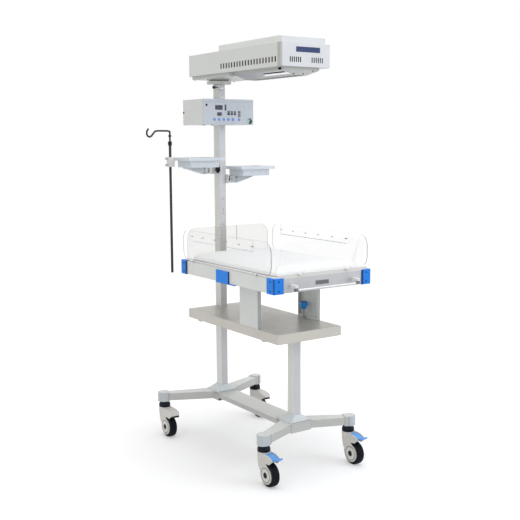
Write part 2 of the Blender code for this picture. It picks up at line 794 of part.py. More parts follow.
def make_bed_frame(bed):
    """Four rails in a ring, a lip along the front rail, and the knuckles that the panels hinge on."""
    ring = block(-BED_HALF, BED_HALF, BED_FRONT, BED_REAR, RAIL_BOTTOM, RAIL_TOP)
    inner = BED_HALF - RAIL_WIDTH
    hollow = block(
        -inner,
        inner,
        BED_FRONT + RAIL_WIDTH,
        BED_REAR - RAIL_WIDTH,
        RAIL_BOTTOM - OVERRUN,
        RAIL_TOP + OVERRUN,
    )
    lip_back = BED_FRONT + LIP_THICK
    joins = [block(-LIP_HALF, LIP_HALF, BED_FRONT, lip_back, RAIL_TOP - LAP, RAIL_TOP + LIP_HEIGHT)]
    cuts = [hollow]
    pin = HINGE_PIN_RADIUS + GAP
    for side in SIDES.values():
        x = side * SIDE_HINGE_X
        for y in SIDE_KNUCKLES:
            ends = (y - KNUCKLE_HALF, y + KNUCKLE_HALF)
            joins.append(rod((x, ends[0], HINGE_Z), (x, ends[1], HINGE_Z), KNUCKLE_RADIUS, ROUND_STEPS))
            web_top = HINGE_Z - HINGE_PIN_RADIUS - LAP / 2 - 2 * GAP
            web_x = (x + side * LAP, side * (BED_HALF - LAP))
            joins.append(block(*web_x, *ends, RAIL_TOP - LAP, web_top))
            cuts.append(rod((x, ends[0] - OVERRUN, HINGE_Z), (x, ends[1] + OVERRUN, HINGE_Z), pin))
    for x in FRONT_KNUCKLES:
        ends = (x - KNUCKLE_HALF, x + KNUCKLE_HALF)
        y = FRONT_HINGE_Y
        joins.append(rod((ends[0], y, FRONT_HINGE_Z), (ends[1], y, FRONT_HINGE_Z), KNUCKLE_RADIUS))
        web_z = (FRONT_HINGE_Z - KNUCKLE_RADIUS + GAP, FRONT_HINGE_Z + LAP)
        joins.append(block(*ends, y, BED_FRONT + LIP_THICK / 2, *web_z))
        cuts.append(rod((ends[0] - OVERRUN, y, FRONT_HINGE_Z), (ends[1] + OVERRUN, y, FRONT_HINGE_Z), pin))
    piece("bed_frame", ring, "aluminium", TILT_AXIS, bed, joins=joins, cuts=cuts)


def make_deck():
    """The mattress deck, with an ear under each side round the tilt shaft. It carries the bed."""
    half = BED_HALF - DECK_SIDE_INSET
    front = BED_FRONT + DECK_FRONT_INSET
    deck = block(-half, half, front, BED_REAR - DECK_REAR_INSET, DECK_BOTTOM, DECK_TOP)
    joins = []
    for side in SIDES.values():
        outer = side * (SHELF_HALF - SUPPORT_WALL - GAP)
        inner = outer - side * EAR_THICK
        ear_front = SUPPORT_Y - EAR_HALF
        ear_rear = SUPPORT_Y + EAR_HALF
        joins.append(block(outer, inner, ear_front, ear_rear, TILT_Z - EAR_BELOW, DECK_BOTTOM + LAP))
    reach = SHELF_HALF
    bore = rod((-reach, SUPPORT_Y, TILT_Z), (reach, SUPPORT_Y, TILT_Z), SHAFT_RADIUS + GAP)
    return piece("bed_deck", deck, "white_plastic", TILT_AXIS, joins=joins, cuts=[bore])


def deck_clearance():
    """The room that the deck takes above the rails."""
    half = BED_HALF - DECK_SIDE_INSET + GAP
    front = BED_FRONT + DECK_FRONT_INSET - GAP
    rear = BED_REAR - DECK_REAR_INSET + GAP
    return block(-half, half, front, rear, DECK_BOTTOM, DECK_TOP + OVERRUN)


def make_corners(bed):
    """Blocks that wrap the ring's corners from outside, above and below, each with an inner gusset."""
    for end, y_sign in (("front", -1), ("rear", 1)):
        for name, side in SIDES.items():
            face = BED_FRONT if end == "front" else BED_REAR
            outer_y = face + y_sign * CORNER_PROUD
            near_y, far_y = sorted((outer_y, outer_y - y_sign * CORNER_ALONG_SIDE))
            outer_x = side * (BED_HALF + CORNER_PROUD)
            inner_x = outer_x - side * CORNER_ALONG_END
            body = block(
                outer_x, inner_x, near_y, far_y, RAIL_BOTTOM - CORNER_FLOOR, RAIL_TOP + CORNER_LID
            )
            rail_z = (RAIL_BOTTOM - GAP, RAIL_TOP + GAP)
            side_rail = (side * (BED_HALF + GAP), side * (BED_HALF - RAIL_WIDTH - GAP))
            end_rail = sorted((face + y_sign * GAP, face - y_sign * (RAIL_WIDTH + GAP)))
            past = sorted((face + y_sign * GAP, face - y_sign * 2 * CORNER_ALONG_SIDE))
            cuts = [
                block(*side_rail, *past, *rail_z),
                block(side * (BED_HALF + GAP), 0, *end_rail, *rail_z),
                deck_clearance(),
            ]
            if end == "front":
                lip = (BED_FRONT - GAP, BED_FRONT + LIP_THICK + GAP)
                lip_half = LIP_HALF + GAP
                cuts.append(block(-lip_half, lip_half, *lip, DECK_BOTTOM, DECK_TOP + OVERRUN))
            else:
                slot = (REAR_PANEL_FRONT - GAP, REAR_PANEL_FRONT + PANEL_THICK + GAP)
                slot_half = REAR_PANEL_HALF + GAP
                cuts.append(block(-slot_half, slot_half, *slot, DECK_BOTTOM, DECK_TOP + OVERRUN))
            piece(f"corner_{end}_{name}", body, "blue_plastic", TILT_AXIS, bed, cuts=cuts)


MATTRESS_CORNER = 0.040
MATTRESS_DRAW = 0.004
# The mattress's section from its underside up, as shares of its half width, its height and the side's draw-in
MATTRESS_RING_SHARES = (
    (0.031, 0.0, 0.3),
    (0.004, 0.13, 1.0),
    (0.0, 0.30, 1.2),
    (0.004, 0.46, 1.0),
    (0.022, 0.60, 0.7),
    (0.071, 0.72, 0.4),
    (0.178, 0.82, 0.2),
    (0.356, 0.92, 0.1),
    (0.578, 0.98, 0.0),
    (0.800, 1.0, 0.0),
)
MATTRESS_FRONT_INSET = 0.016
MATTRESS_REAR_INSET = 0.0245
MATTRESS_STEPS = 7


def make_mattress(bed):
    """A soft pad with a low crown and sides drawn in a little between its corners."""
    front = BED_FRONT + MATTRESS_FRONT_INSET
    rear = BED_REAR - MATTRESS_REAR_INSET
    middle = (front + rear) / 2
    half_length = (rear - front) / 2
    rings = []
    for inset_share, height_share, draw_share in MATTRESS_RING_SHARES:
        inset = inset_share * MATTRESS_HALF
        radius = max(MATTRESS_CORNER - inset / 2, MATTRESS_CORNER / 2)
        outline = rounded(
            -MATTRESS_HALF + inset,
            MATTRESS_HALF - inset,
            front + inset,
            rear - inset,
            radius,
            MATTRESS_STEPS,
        )
        ring = []
        z = DECK_TOP + GAP + height_share * MATTRESS_HEIGHT
        outline = split_sides(outline, MATTRESS_STEPS + 1)
        for x, y in outline:
            along = (y - middle) / half_length
            across = x / MATTRESS_HALF
            pull_x = MATTRESS_DRAW * draw_share * (1 - along**2)
            pull_y = MATTRESS_DRAW * draw_share * (1 - across**2)
            ring.append((x - pull_x * across, y - pull_y * along, z))
        rings.append(ring)
    piece("mattress", lofted(rings), "mattress_cover", TILT_AXIS, bed)


def split_sides(outline, corner_count, parts=4):
    """The outline with the straight stretch after each corner split into a few parts."""
    points = []
    for place, ((x0, y0), (x1, y1)) in enumerate(zip(outline, outline[1:] + outline[:1]), 1):
        points.append((x0, y0))
        if place % corner_count == 0:
            for i in range(1, parts):
                points.append((x0 + (x1 - x0) * i / parts, y0 + (y1 - y0) * i / parts))
    return points


# Clips and the front handle
CLIP_REAR = -0.049
CLIP_FRONT = -0.146
CLIP_TAB_FRONT = -0.193
CLIP_PROUD = 0.0065
CLIP_DROP = 0.003
CLIP_TOP_BELOW = 0.007
CLIP_INWARD = 0.018
HANDLE_HALF = 0.151
HANDLE_BRACKET_HALF = 0.012
HANDLE_BRACKET_TOP = 0.025
HANDLE_BRACKET_DROP = 0.008
HANDLE_REACH = 0.038
HANDLE_BAR_RADIUS = 0.006
HANDLE_BAR_OUT = 0.031
HANDLE_BAR_BELOW = 0.018


def make_clips(bed):
    """A clip on the outside of each side rail, with a tab running forward under the rail."""
    for name, side in SIDES.items():
        face = side * (BED_HALF + GAP)
        outer = side * (BED_HALF + CLIP_PROUD)
        bottom = RAIL_BOTTOM - CLIP_DROP
        under = RAIL_BOTTOM - GAP
        plate = block(outer, face, CLIP_FRONT, CLIP_REAR, bottom, RAIL_TOP - CLIP_TOP_BELOW)
        inward = side * (BED_HALF - CLIP_INWARD)
        joins = [block(outer, inward, CLIP_TAB_FRONT, CLIP_REAR, bottom, under)]
        piece(f"rail_clip_{name}", plate, "blue_plastic", TILT_AXIS, bed, joins=joins)


def make_handle(bed):
    """Two brackets on the front rail with a bar between them."""
    face = BED_FRONT - GAP
    bar_y = face - HANDLE_BAR_OUT
    bar_z = TILT_Z + HANDLE_BAR_BELOW - HANDLE_BRACKET_DROP / 2
    brackets = []
    for side in SIDES.values():
        x = side * HANDLE_HALF
        low = bar_z - HANDLE_BRACKET_DROP
        brackets.append(
            block(
                x - HANDLE_BRACKET_HALF,
                x + HANDLE_BRACKET_HALF,
                face - HANDLE_REACH,
                face,
                low,
                low + HANDLE_BRACKET_TOP,
            )
        )
    bar = rod((-HANDLE_HALF, bar_y, bar_z), (HANDLE_HALF, bar_y, bar_z), HANDLE_BAR_RADIUS)
    piece("front_handle", bar, "white_plastic", TILT_AXIS, bed, joins=brackets)


# Clear panels
PANEL_FRONT = -0.452
PANEL_REAR = 0.235
PANEL_LIFT = 0.005
FRONT_PANEL_SIDE_INSET = 0.033
FRONT_PANEL_HALF = BED_HALF - FRONT_PANEL_SIDE_INSET
FRONT_PANEL_BEHIND = 0.0035
FRONT_PANEL_LIFT = 0.002
STRIP_THICK = 0.0015
STRIP_FRONT = -0.320
STRIP_REAR = 0.165
STRIP_BELOW_TOP = 0.003
STRIP_HEIGHT = 0.045
STRIP_HOLES = (0.160, 0.066, -0.029, -0.122, -0.221, -0.313)
STRIP_HOLE_RADIUS = 0.004
STRIP_HOLE_DEPTH = 0.001
STRIP_HOLE_BELOW = 0.028
STRIP_HOLE_EDGE = 0.009
LUG_LENGTH = 0.008
LUG_RADIUS = 0.003
LUG_GAP = 0.0006


def make_side_panels(bed):
    """Clear side walls, each with a hole strip along its top and two hinge lugs at its foot."""
    for name, side in SIDES.items():
        outer = side * (BED_HALF + CORNER_PROUD)
        inner = outer - side * PANEL_THICK
        bottom = RAIL_TOP + PANEL_LIFT
        outline = rounded(PANEL_FRONT, PANEL_REAR, bottom, PANEL_TOP, PANEL_CORNER)
        sheet = prism(outline, inner, outer, "X")
        axis_x = side * SIDE_HINGE_X
        strip_top = PANEL_TOP - STRIP_BELOW_TOP
        joins = [
            block(
                outer - side * LAP / 2,
                outer + side * STRIP_THICK,
                STRIP_FRONT - STRIP_HOLE_EDGE,
                STRIP_REAR + STRIP_HOLE_EDGE / 2,
                strip_top - STRIP_HEIGHT,
                strip_top,
            )
        ]
        for y in SIDE_KNUCKLES:
            reach = KNUCKLE_HALF + LUG_GAP + LUG_LENGTH
            joins.append(
                rod((axis_x, y - reach, HINGE_Z), (axis_x, y + reach, HINGE_Z), HINGE_PIN_RADIUS)
            )
            for direction in (-1, 1):
                near = y + direction * (KNUCKLE_HALF + LUG_GAP)
                far = y + direction * reach
                joins.append(rod((axis_x, near, HINGE_Z), (axis_x, far, HINGE_Z), LUG_RADIUS))
                low, high = sorted((near, far))
                joins.append(
                    block(
                        outer - side * LAP,
                        axis_x,
                        low,
                        high,
                        HINGE_Z - HINGE_PIN_RADIUS,
                        HINGE_Z + LUG_RADIUS - GAP,
                    )
                )
        cuts = []
        hole_z = PANEL_TOP - STRIP_HOLE_BELOW
        for y in STRIP_HOLES:
            near_x = outer + side * (STRIP_THICK - STRIP_HOLE_DEPTH)
            far_x = outer + side * OVERRUN
            cuts.append(rod((near_x, y, hole_z), (far_x, y, hole_z), STRIP_HOLE_RADIUS, ROUND_STEPS // 2))
        origin = (axis_x, SUPPORT_Y, HINGE_Z)
        piece(f"panel_{name}", sheet, "clear_acrylic", origin, bed, joins=joins, cuts=cuts)


def make_end_panels(bed):
    """The front wall on its hinge, and the rear wall that lifts out of its slots."""
    back = BED_FRONT + FRONT_PANEL_BEHIND + PANEL_THICK
    face = BED_FRONT + FRONT_PANEL_BEHIND
    bottom = RAIL_TOP + LIP_HEIGHT + FRONT_PANEL_LIFT
    top = PANEL_TOP - STRIP_BELOW_TOP
    outline = rounded(-FRONT_PANEL_HALF, FRONT_PANEL_HALF, bottom, top, PANEL_CORNER)
    sheet = prism(outline, face, back, "Y")
    y = FRONT_HINGE_Y
    z = FRONT_HINGE_Z
    arm_bottom = RAIL_TOP + LIP_HEIGHT + 2 * GAP
    arm_top = bottom + LUG_LENGTH / 2
    joins = []
    for x in FRONT_KNUCKLES:
        reach = KNUCKLE_HALF + LUG_GAP + LUG_LENGTH
        joins.append(rod((x - reach, y, z), (x + reach, y, z), HINGE_PIN_RADIUS))
        for direction in (-1, 1):
            low, high = sorted((x + direction * (KNUCKLE_HALF + LUG_GAP), x + direction * reach))
            joins.append(rod((low, y, z), (high, y, z), LUG_RADIUS))
            joins.append(block(low, high, y - LUG_RADIUS, y + LUG_RADIUS, z, arm_top))
            joins.append(block(low, high, y, face + LAP, arm_bottom, arm_top))
    piece("panel_front", sheet, "clear_acrylic", (0, y, z), bed, joins=joins)
    outline = rounded(-REAR_PANEL_HALF, REAR_PANEL_HALF, DECK_BOTTOM + GAP, PANEL_TOP, PANEL_CORNER)
    flat = (-REAR_PANEL_HALF, REAR_PANEL_HALF)
    rear_y = (REAR_PANEL_FRONT, REAR_PANEL_FRONT + PANEL_THICK)
    foot = block(*flat, *rear_y, DECK_BOTTOM + GAP, DECK_BOTTOM + PANEL_CORNER + LAP)
    sheet = prism(outline, *rear_y, "Y")
    origin = (0, REAR_PANEL_FRONT, DECK_BOTTOM)
    piece("panel_rear", sheet, "clear_acrylic", origin, bed, joins=[foot])


# Hood
SHOULDER_RADIUS = 0.030
SHOULDER_HEIGHT = 0.003
BOSS_RADIUS = 0.018
BOSS_HEIGHT = 0.036
DISC_RADIUS = 0.045
DISC_THICK = 0.004
HOOD_ROUND = 0.008
PLATE_THICK = 0.003
PAN_HALF = 0.113
PAN_REAR = 0.360
PAN_FRONT = 0.045
TROUGH_HALF = 0.090
TROUGH_BOTTOM_HALF = 0.028
TROUGH_FLANGE = 0.011
TROUGH_DROP = 0.020
TROUGH_FRONT = -0.320
TROUGH_REAR = 0.0425
TROUGH_WALL = 0.0025
RIB_COUNT = 8
RIB_WIDTH = 0.003
STRIP_INNER = 0.025
STRIP_OUTER = 0.031
VENT_COUNT = 20
VENT_REAR = 0.091
VENT_FRONT = -0.314
VENT_WIDTH = 0.0055
VENT_HEIGHT = 0.0205
VENT_RISE = 0.0172
FRONT_VENT_COUNT = 6
FRONT_VENT_WIDTH = 0.0045
FRONT_VENT_GROUPS = ((-0.0772, -0.027), (0.031, 0.083))
COVER_HALF = 0.114
COVER_FRONT = -0.333
COVER_REAR = 0.132
COVER_INSET = 0.004
REFLECTOR_HALF = 0.084
REFLECTOR_RISE = 0.055
REFLECTOR_THICK = 0.0015
REFLECTOR_FLANGE = 0.012
REFLECTOR_FRONT = -0.314
REFLECTOR_REAR = 0.036
TUBE_RADIUS = 0.006
TUBE_Z_BELOW = 0.014
FLANGE_TOP = COLUMN_TOP + GAP + FLANGE_THICK
DISC_BOTTOM = FLANGE_TOP + SHOULDER_HEIGHT + GAP
HOOD_BOTTOM = DISC_BOTTOM + PAN_DROP
HOOD_TOP = HOOD_BOTTOM + HOOD_HEIGHT
PLATE_TOP = HOOD_BOTTOM + PLATE_THICK + 2 * GAP
HOOD_AXIS = (0, COLUMN_Y, HOOD_BOTTOM)


def make_swivel():
    """The flange on the column's top, with the boss that the hood turns on."""
    profile = (
        (FLANGE_RADIUS, 0),
        (FLANGE_RADIUS, FLANGE_THICK),
        (SHOULDER_RADIUS, FLANGE_THICK),
        (SHOULDER_RADIUS, FLANGE_THICK + SHOULDER_HEIGHT),
        (BOSS_RADIUS, FLANGE_THICK + SHOULDER_HEIGHT),
        (BOSS_RADIUS, BOSS_HEIGHT),
    )
    piece("swivel_flange", turned(profile, (0, COLUMN_Y, COLUMN_TOP + GAP), steps=FINE_STEPS), "cream_paint")


LOCK_KNOB_RADIUS = 0.006
LOCK_KNOB_LENGTH = 0.012


def make_swivel_knob():
    """The small screw knob in the column's side that locks the hood's swivel."""
    face = -COLUMN_WIDTH / 2 - GAP
    y = COLUMN_Y - COLUMN_DEPTH / 4
    profile = (
        (LOCK_KNOB_RADIUS, -LOCK_KNOB_LENGTH),
        (LOCK_KNOB_RADIUS, 0),
        (LOCK_SHANK_RADIUS, 0),
        (LOCK_SHANK_RADIUS, LOCK_SHANK_DEPTH),
    )
    centre = (face, y, COLUMN_TOP - LOCK_KNOB_BELOW_TOP)
    piece("swivel_knob", turned(profile, centre, "X"), "black_plastic", centre)


def trough_outline(inset):
    """The guard's section, (x, z), drawn in by inset."""
    top = PLATE_TOP - LAP / 2 + (OVERRUN if inset else 0)
    flange = HOOD_BOTTOM - TROUGH_FLANGE
    bottom = flange - TROUGH_DROP
    half = TROUGH_HALF - inset
    low = TROUGH_BOTTOM_HALF - inset / 2
    right = [(half, top), (half, flange + inset / 2), (low, bottom + inset)]
    return right + [(-x, z) for x, z in reversed(right)]


def trough_windows():
    """The openings between the guard's ribs: two beside and one below in each bay."""
    flange = HOOD_BOTTOM - TROUGH_FLANGE - 2 * GAP
    bottom = flange - TROUGH_DROP
    bay = (TROUGH_REAR - TROUGH_FRONT - 2 * TROUGH_WALL + RIB_WIDTH) / (RIB_COUNT + 1)
    windows = []
    for i in range(RIB_COUNT + 1):
        near = TROUGH_FRONT + TROUGH_WALL + i * bay
        far = near + bay - RIB_WIDTH
        for side in SIDES.values():
            windows.append(
                block(
                    side * STRIP_OUTER,
                    side * (TROUGH_HALF - TROUGH_WALL / 2),
                    near,
                    far,
                    bottom - OVERRUN,
                    flange,
                )
            )
        windows.append(
            block(-STRIP_INNER, STRIP_INNER, near, far, bottom - OVERRUN, bottom + OVERRUN)
        )
    return windows


def merged(shapes):
    """Shapes that don't touch, as one shape."""
    whole = bmesh.new()
    for shape in shapes:
        mesh = bpy.data.meshes.new("merged")
        shape.to_mesh(mesh)
        shape.free()
        whole.from_mesh(mesh)
        bpy.data.meshes.remove(mesh)
    return whole


def make_heater(shell):
    """The pan under the hood with its guard, the reflector over it and the heater tube."""
    half = HOOD_HALF - HOOD_WALL - GAP
    front = HOOD_FRONT + HOOD_WALL + GAP
    rear = HOOD_REAR - HOOD_WALL - GAP
    plate_bottom = PLATE_TOP - PLATE_THICK
    outline = rounded(-half, half, front, rear, HOOD_ROUND - HOOD_WALL)
    plate = prism(outline, plate_bottom, PLATE_TOP)
    pan_bottom = DISC_BOTTOM + LAP
    joins = [
        block(-PAN_HALF, PAN_HALF, PAN_FRONT, PAN_REAR, pan_bottom, plate_bottom + LAP / 2),
        rod(
            (0, COLUMN_Y, DISC_BOTTOM),
            (0, COLUMN_Y, DISC_BOTTOM + DISC_THICK),
            DISC_RADIUS,
            FINE_STEPS,
        ),
        prism(trough_outline(0), TROUGH_FRONT, TROUGH_REAR, "Y"),
    ]
    inside = (TROUGH_FRONT + TROUGH_WALL, TROUGH_REAR - TROUGH_WALL)
    cuts = [
        prism(trough_outline(TROUGH_WALL), *inside, "Y"),
        merged(trough_windows()),
        rod(
            (0, COLUMN_Y, DISC_BOTTOM - OVERRUN),
            (0, COLUMN_Y, PLATE_TOP + OVERRUN),
            BOSS_RADIUS + GAP,
            FINE_STEPS,
        ),
    ]
    piece("heater_pan", plate, "cream_paint", HOOD_AXIS, shell, joins=joins, cuts=cuts)
    rise = PLATE_TOP + GAP
    outer = []
    inner = []
    arch_steps = 3 * CORNER_STEPS
    for i in range(arch_steps + 1):
        angle = math.pi * i / arch_steps
        outer.append((math.cos(angle) * REFLECTOR_HALF, rise + math.sin(angle) * REFLECTOR_RISE))
        hollow = REFLECTOR_HALF - REFLECTOR_THICK
        inner.append(
            (math.cos(angle) * hollow, rise + math.sin(angle) * (REFLECTOR_RISE - REFLECTOR_THICK))
        )
    flange_x = REFLECTOR_HALF + REFLECTOR_FLANGE
    flange_z = rise + REFLECTOR_THICK
    section = [(flange_x, rise), (flange_x, flange_z), (REFLECTOR_HALF, flange_z)] + outer[1:-1]
    section += [(-REFLECTOR_HALF, flange_z), (-flange_x, flange_z), (-flange_x, rise)] + inner[::-1]
    reflector = prism(section, REFLECTOR_FRONT, REFLECTOR_REAR, "Y")
    piece("heater_reflector", reflector, "reflector", HOOD_AXIS, shell)
    tube_z = HOOD_BOTTOM - TUBE_Z_BELOW
    tube = rod((0, inside[0] + GAP, tube_z), (0, inside[1] - GAP, tube_z), TUBE_RADIUS)
    piece("heater_tube", tube, "quartz", HOOD_AXIS, shell)


def make_hood():
    """The hood's shell with its vents, and the raised cover on top."""
    outline = rounded(-HOOD_HALF, HOOD_HALF, HOOD_FRONT, HOOD_REAR, HOOD_ROUND)
    shell_shape = prism(outline, HOOD_BOTTOM, HOOD_TOP)
    inner = rounded(
        -HOOD_HALF + HOOD_WALL,
        HOOD_HALF - HOOD_WALL,
        HOOD_FRONT + HOOD_WALL,
        HOOD_REAR - HOOD_WALL,
        HOOD_ROUND - HOOD_WALL,
    )
    hollow = prism(inner, HOOD_BOTTOM - OVERRUN, HOOD_TOP - HOOD_WALL)
    vent_z = (HOOD_BOTTOM + VENT_RISE, HOOD_BOTTOM + VENT_RISE + VENT_HEIGHT)
    vents = []
    pitch = (VENT_REAR - VENT_FRONT) / (VENT_COUNT - 1)
    for side in SIDES.values():
        wall = (side * (HOOD_HALF - HOOD_WALL - LAP), side * (HOOD_HALF + LAP))
        for i in range(VENT_COUNT):
            y = VENT_FRONT + i * pitch
            vents.append(block(*wall, y - VENT_WIDTH / 2, y + VENT_WIDTH / 2, *vent_z))
    for left, right in FRONT_VENT_GROUPS:
        pitch = (right - left) / (FRONT_VENT_COUNT - 1)
        for i in range(FRONT_VENT_COUNT):
            x = left + i * pitch
            wall = (HOOD_FRONT - LAP, HOOD_FRONT + HOOD_WALL + LAP)
            vents.append(block(x - FRONT_VENT_WIDTH / 2, x + FRONT_VENT_WIDTH / 2, *wall, *vent_z))
    shell = piece("hood_shell", shell_shape, "cream_paint", HOOD_AXIS, cuts=[hollow, merged(vents)])
    bottom = HOOD_TOP + GAP
    rings = []
    shoulder = bottom + COVER_HEIGHT - COVER_INSET
    for z, inset in ((bottom, 0), (shoulder, 0), (bottom + COVER_HEIGHT, COVER_INSET)):
        ring = rounded(
            -COVER_HALF + inset,
            COVER_HALF - inset,
            COVER_FRONT + inset,
            COVER_REAR - inset,
            HOOD_ROUND,
        )
        rings.append([(x, y, z) for x, y in ring])
    hollow = block(
        -COVER_HALF + COVER_INSET,
        COVER_HALF - COVER_INSET,
        COVER_FRONT + COVER_INSET,
        COVER_REAR - COVER_INSET,
        bottom - OVERRUN,
        shoulder,
    )
    piece("hood_cover", lofted(rings), "cream_paint", HOOD_AXIS, shell, cuts=[hollow])
    return shell


# Control box. Places on its front are measured from its left and bottom edges: (left, right, bottom, top)
DISPLAYS = ((0.0611, 0.0990, 0.0663, 0.0856), (0.0709, 0.0945, 0.0401, 0.0545))
DISPLAY_RECESS = 0.001
SOCKET_PLACE = (0.0163, 0.0865)
SOCKET_RADIUS = 0.006
SOCKET_DEEP = 0.003
SWITCH_X = 0.070
SWITCH_RISE = 0.0165
SWITCH_RADIUS = 0.0125
SWITCH_PROUD = 0.004
SWITCH_LENGTH = 0.014
SWITCH_CLEARANCE = 0.0005


def make_control_box():
    """A case round the column, closed by the control panel with its displays, socket and power button."""
    top = CASE_BOTTOM + CASE_HEIGHT
    seam = CASE_FRONT + PANEL_PLATE
    case = block(CASE_LEFT, CASE_RIGHT, seam + GAP, CASE_REAR, CASE_BOTTOM, top)
    across = COLUMN_WIDTH / 2 + GAP
    along = COLUMN_DEPTH / 2 + GAP
    passage = block(
        -across,
        across,
        COLUMN_Y - along,
        COLUMN_Y + along,
        CASE_BOTTOM - OVERRUN,
        top + OVERRUN,
    )
    hollow = block(
        CASE_LEFT + CASE_WALL,
        CASE_RIGHT - CASE_WALL,
        seam - OVERRUN,
        COLUMN_Y - along - CASE_WALL,
        CASE_BOTTOM + CASE_WALL,
        top - CASE_WALL,
    )
    piece("control_case", case, "cream_paint", cuts=[hollow, passage])
    panel = block(CASE_LEFT, CASE_RIGHT, CASE_FRONT, seam, CASE_BOTTOM, top)
    cuts = []
    for left, right, low, high in DISPLAYS:
        x = (CASE_LEFT + left, CASE_LEFT + right)
        z = (CASE_BOTTOM + low, CASE_BOTTOM + high)
        cuts.append(block(*x, CASE_FRONT - OVERRUN, CASE_FRONT + DISPLAY_RECESS, *z))
    x = CASE_LEFT + SOCKET_PLACE[0]
    z = CASE_BOTTOM + SOCKET_PLACE[1]
    cuts.append(rod((x, CASE_FRONT - OVERRUN, z), (x, CASE_FRONT + SOCKET_DEEP, z), SOCKET_RADIUS))
    centre = (SWITCH_X, CASE_FRONT - SWITCH_PROUD, CASE_BOTTOM + SWITCH_RISE)
    bore = SWITCH_RADIUS + SWITCH_CLEARANCE
    cuts.append(rod((SWITCH_X, CASE_FRONT - OVERRUN, centre[2]), (SWITCH_X, seam + OVERRUN, centre[2]), bore))
    piece("control_panel", panel, "cream_paint", cuts=cuts)
    back = centre[1] + SWITCH_LENGTH
    button = rod(centre, (SWITCH_X, back, centre[2]), SWITCH_RADIUS, FINE_STEPS)
    piece("power_switch", button, "green_plastic", centre)


# Trays and their arms
SHEET = 0.002
RIM_PLATE = 0.003
PAN_END_INSET = 0.020
PAN_FRONT_INSET = 0.018
PAN_REAR_INSET = 0.012
PIN_X = 0.075
PIN_Y = 0.320
PIN_RADIUS = 0.005
CLEVIS_RADIUS = 0.014
CLEVIS_PLATE = 0.0077
LUG_DISC = 0.013
ARM_HALF = 0.014
ARM_END = 0.187
ARM_TIP = 0.008
WEDGE_START = 0.0925
SIDE_PLATE = 0.005
SIDE_PLATE_FRONT = 0.270
SIDE_PLATE_TOP = 0.042
NUT_DEPTH = 0.0054
TRAY_KNOB_RADIUS = 0.016
TRAY_KNOB_THICK = 0.009
TRAY_KNOB_SHANK = 0.003
TRAY_KNOB_RISE = 0.021
TRAY_KNOB_Y = 0.288


def make_arm(name, side):
    """The bracket on the column's side: a plate with a slot nut, and a clevis round the tray's pin."""
    bottom = ARM_BOTTOMS[name]
    top = bottom + ARM_HEIGHT
    face = side * (COLUMN_WIDTH / 2 + GAP)
    outer = face + side * SIDE_PLATE
    rear = PIN_Y + ARM_HALF
    plate = block(face, outer, SIDE_PLATE_FRONT, rear, bottom, bottom + SIDE_PLATE_TOP)
    nut_half = SLOT_WIDTH / 2 - GAP
    pin_x = side * PIN_X
    joins = [
        block(
            face + side * LAP,
            side * (COLUMN_WIDTH / 2 - NUT_DEPTH),
            COLUMN_Y - nut_half,
            COLUMN_Y + nut_half,
            bottom,
            top,
        ),
        block(outer - side * LAP, pin_x, PIN_Y - ARM_HALF, rear, bottom, top),
        rod((pin_x, PIN_Y, bottom), (pin_x, PIN_Y, top), CLEVIS_RADIUS),
    ]
    fork_low = bottom + CLEVIS_PLATE
    fork_high = top - CLEVIS_PLATE + LAP / 2
    mouth = side * (PIN_X - CLEVIS_RADIUS - LAP)
    cuts = [
        block(
            mouth,
            side * (PIN_X + CLEVIS_RADIUS + OVERRUN),
            PIN_Y - ARM_HALF - OVERRUN,
            rear + OVERRUN,
            fork_low,
            fork_high,
        )
    ]
    knob_z = bottom + TRAY_KNOB_RISE
    shank = TRAY_KNOB_SHANK + GAP
    knob_ends = ((face - side * GAP, TRAY_KNOB_Y, knob_z), (outer + side * OVERRUN, TRAY_KNOB_Y, knob_z))
    cuts.append(rod(*knob_ends, shank))
    pin = rod((pin_x, PIN_Y, bottom + LAP), (pin_x, PIN_Y, top - LAP), PIN_RADIUS)
    origin = (pin_x, PIN_Y, bottom)
    arm = piece(f"tray_arm_{name}", plate, "cream_paint", origin, joins=joins, cuts=cuts, last_joins=[pin])
    return arm, knob_z, outer


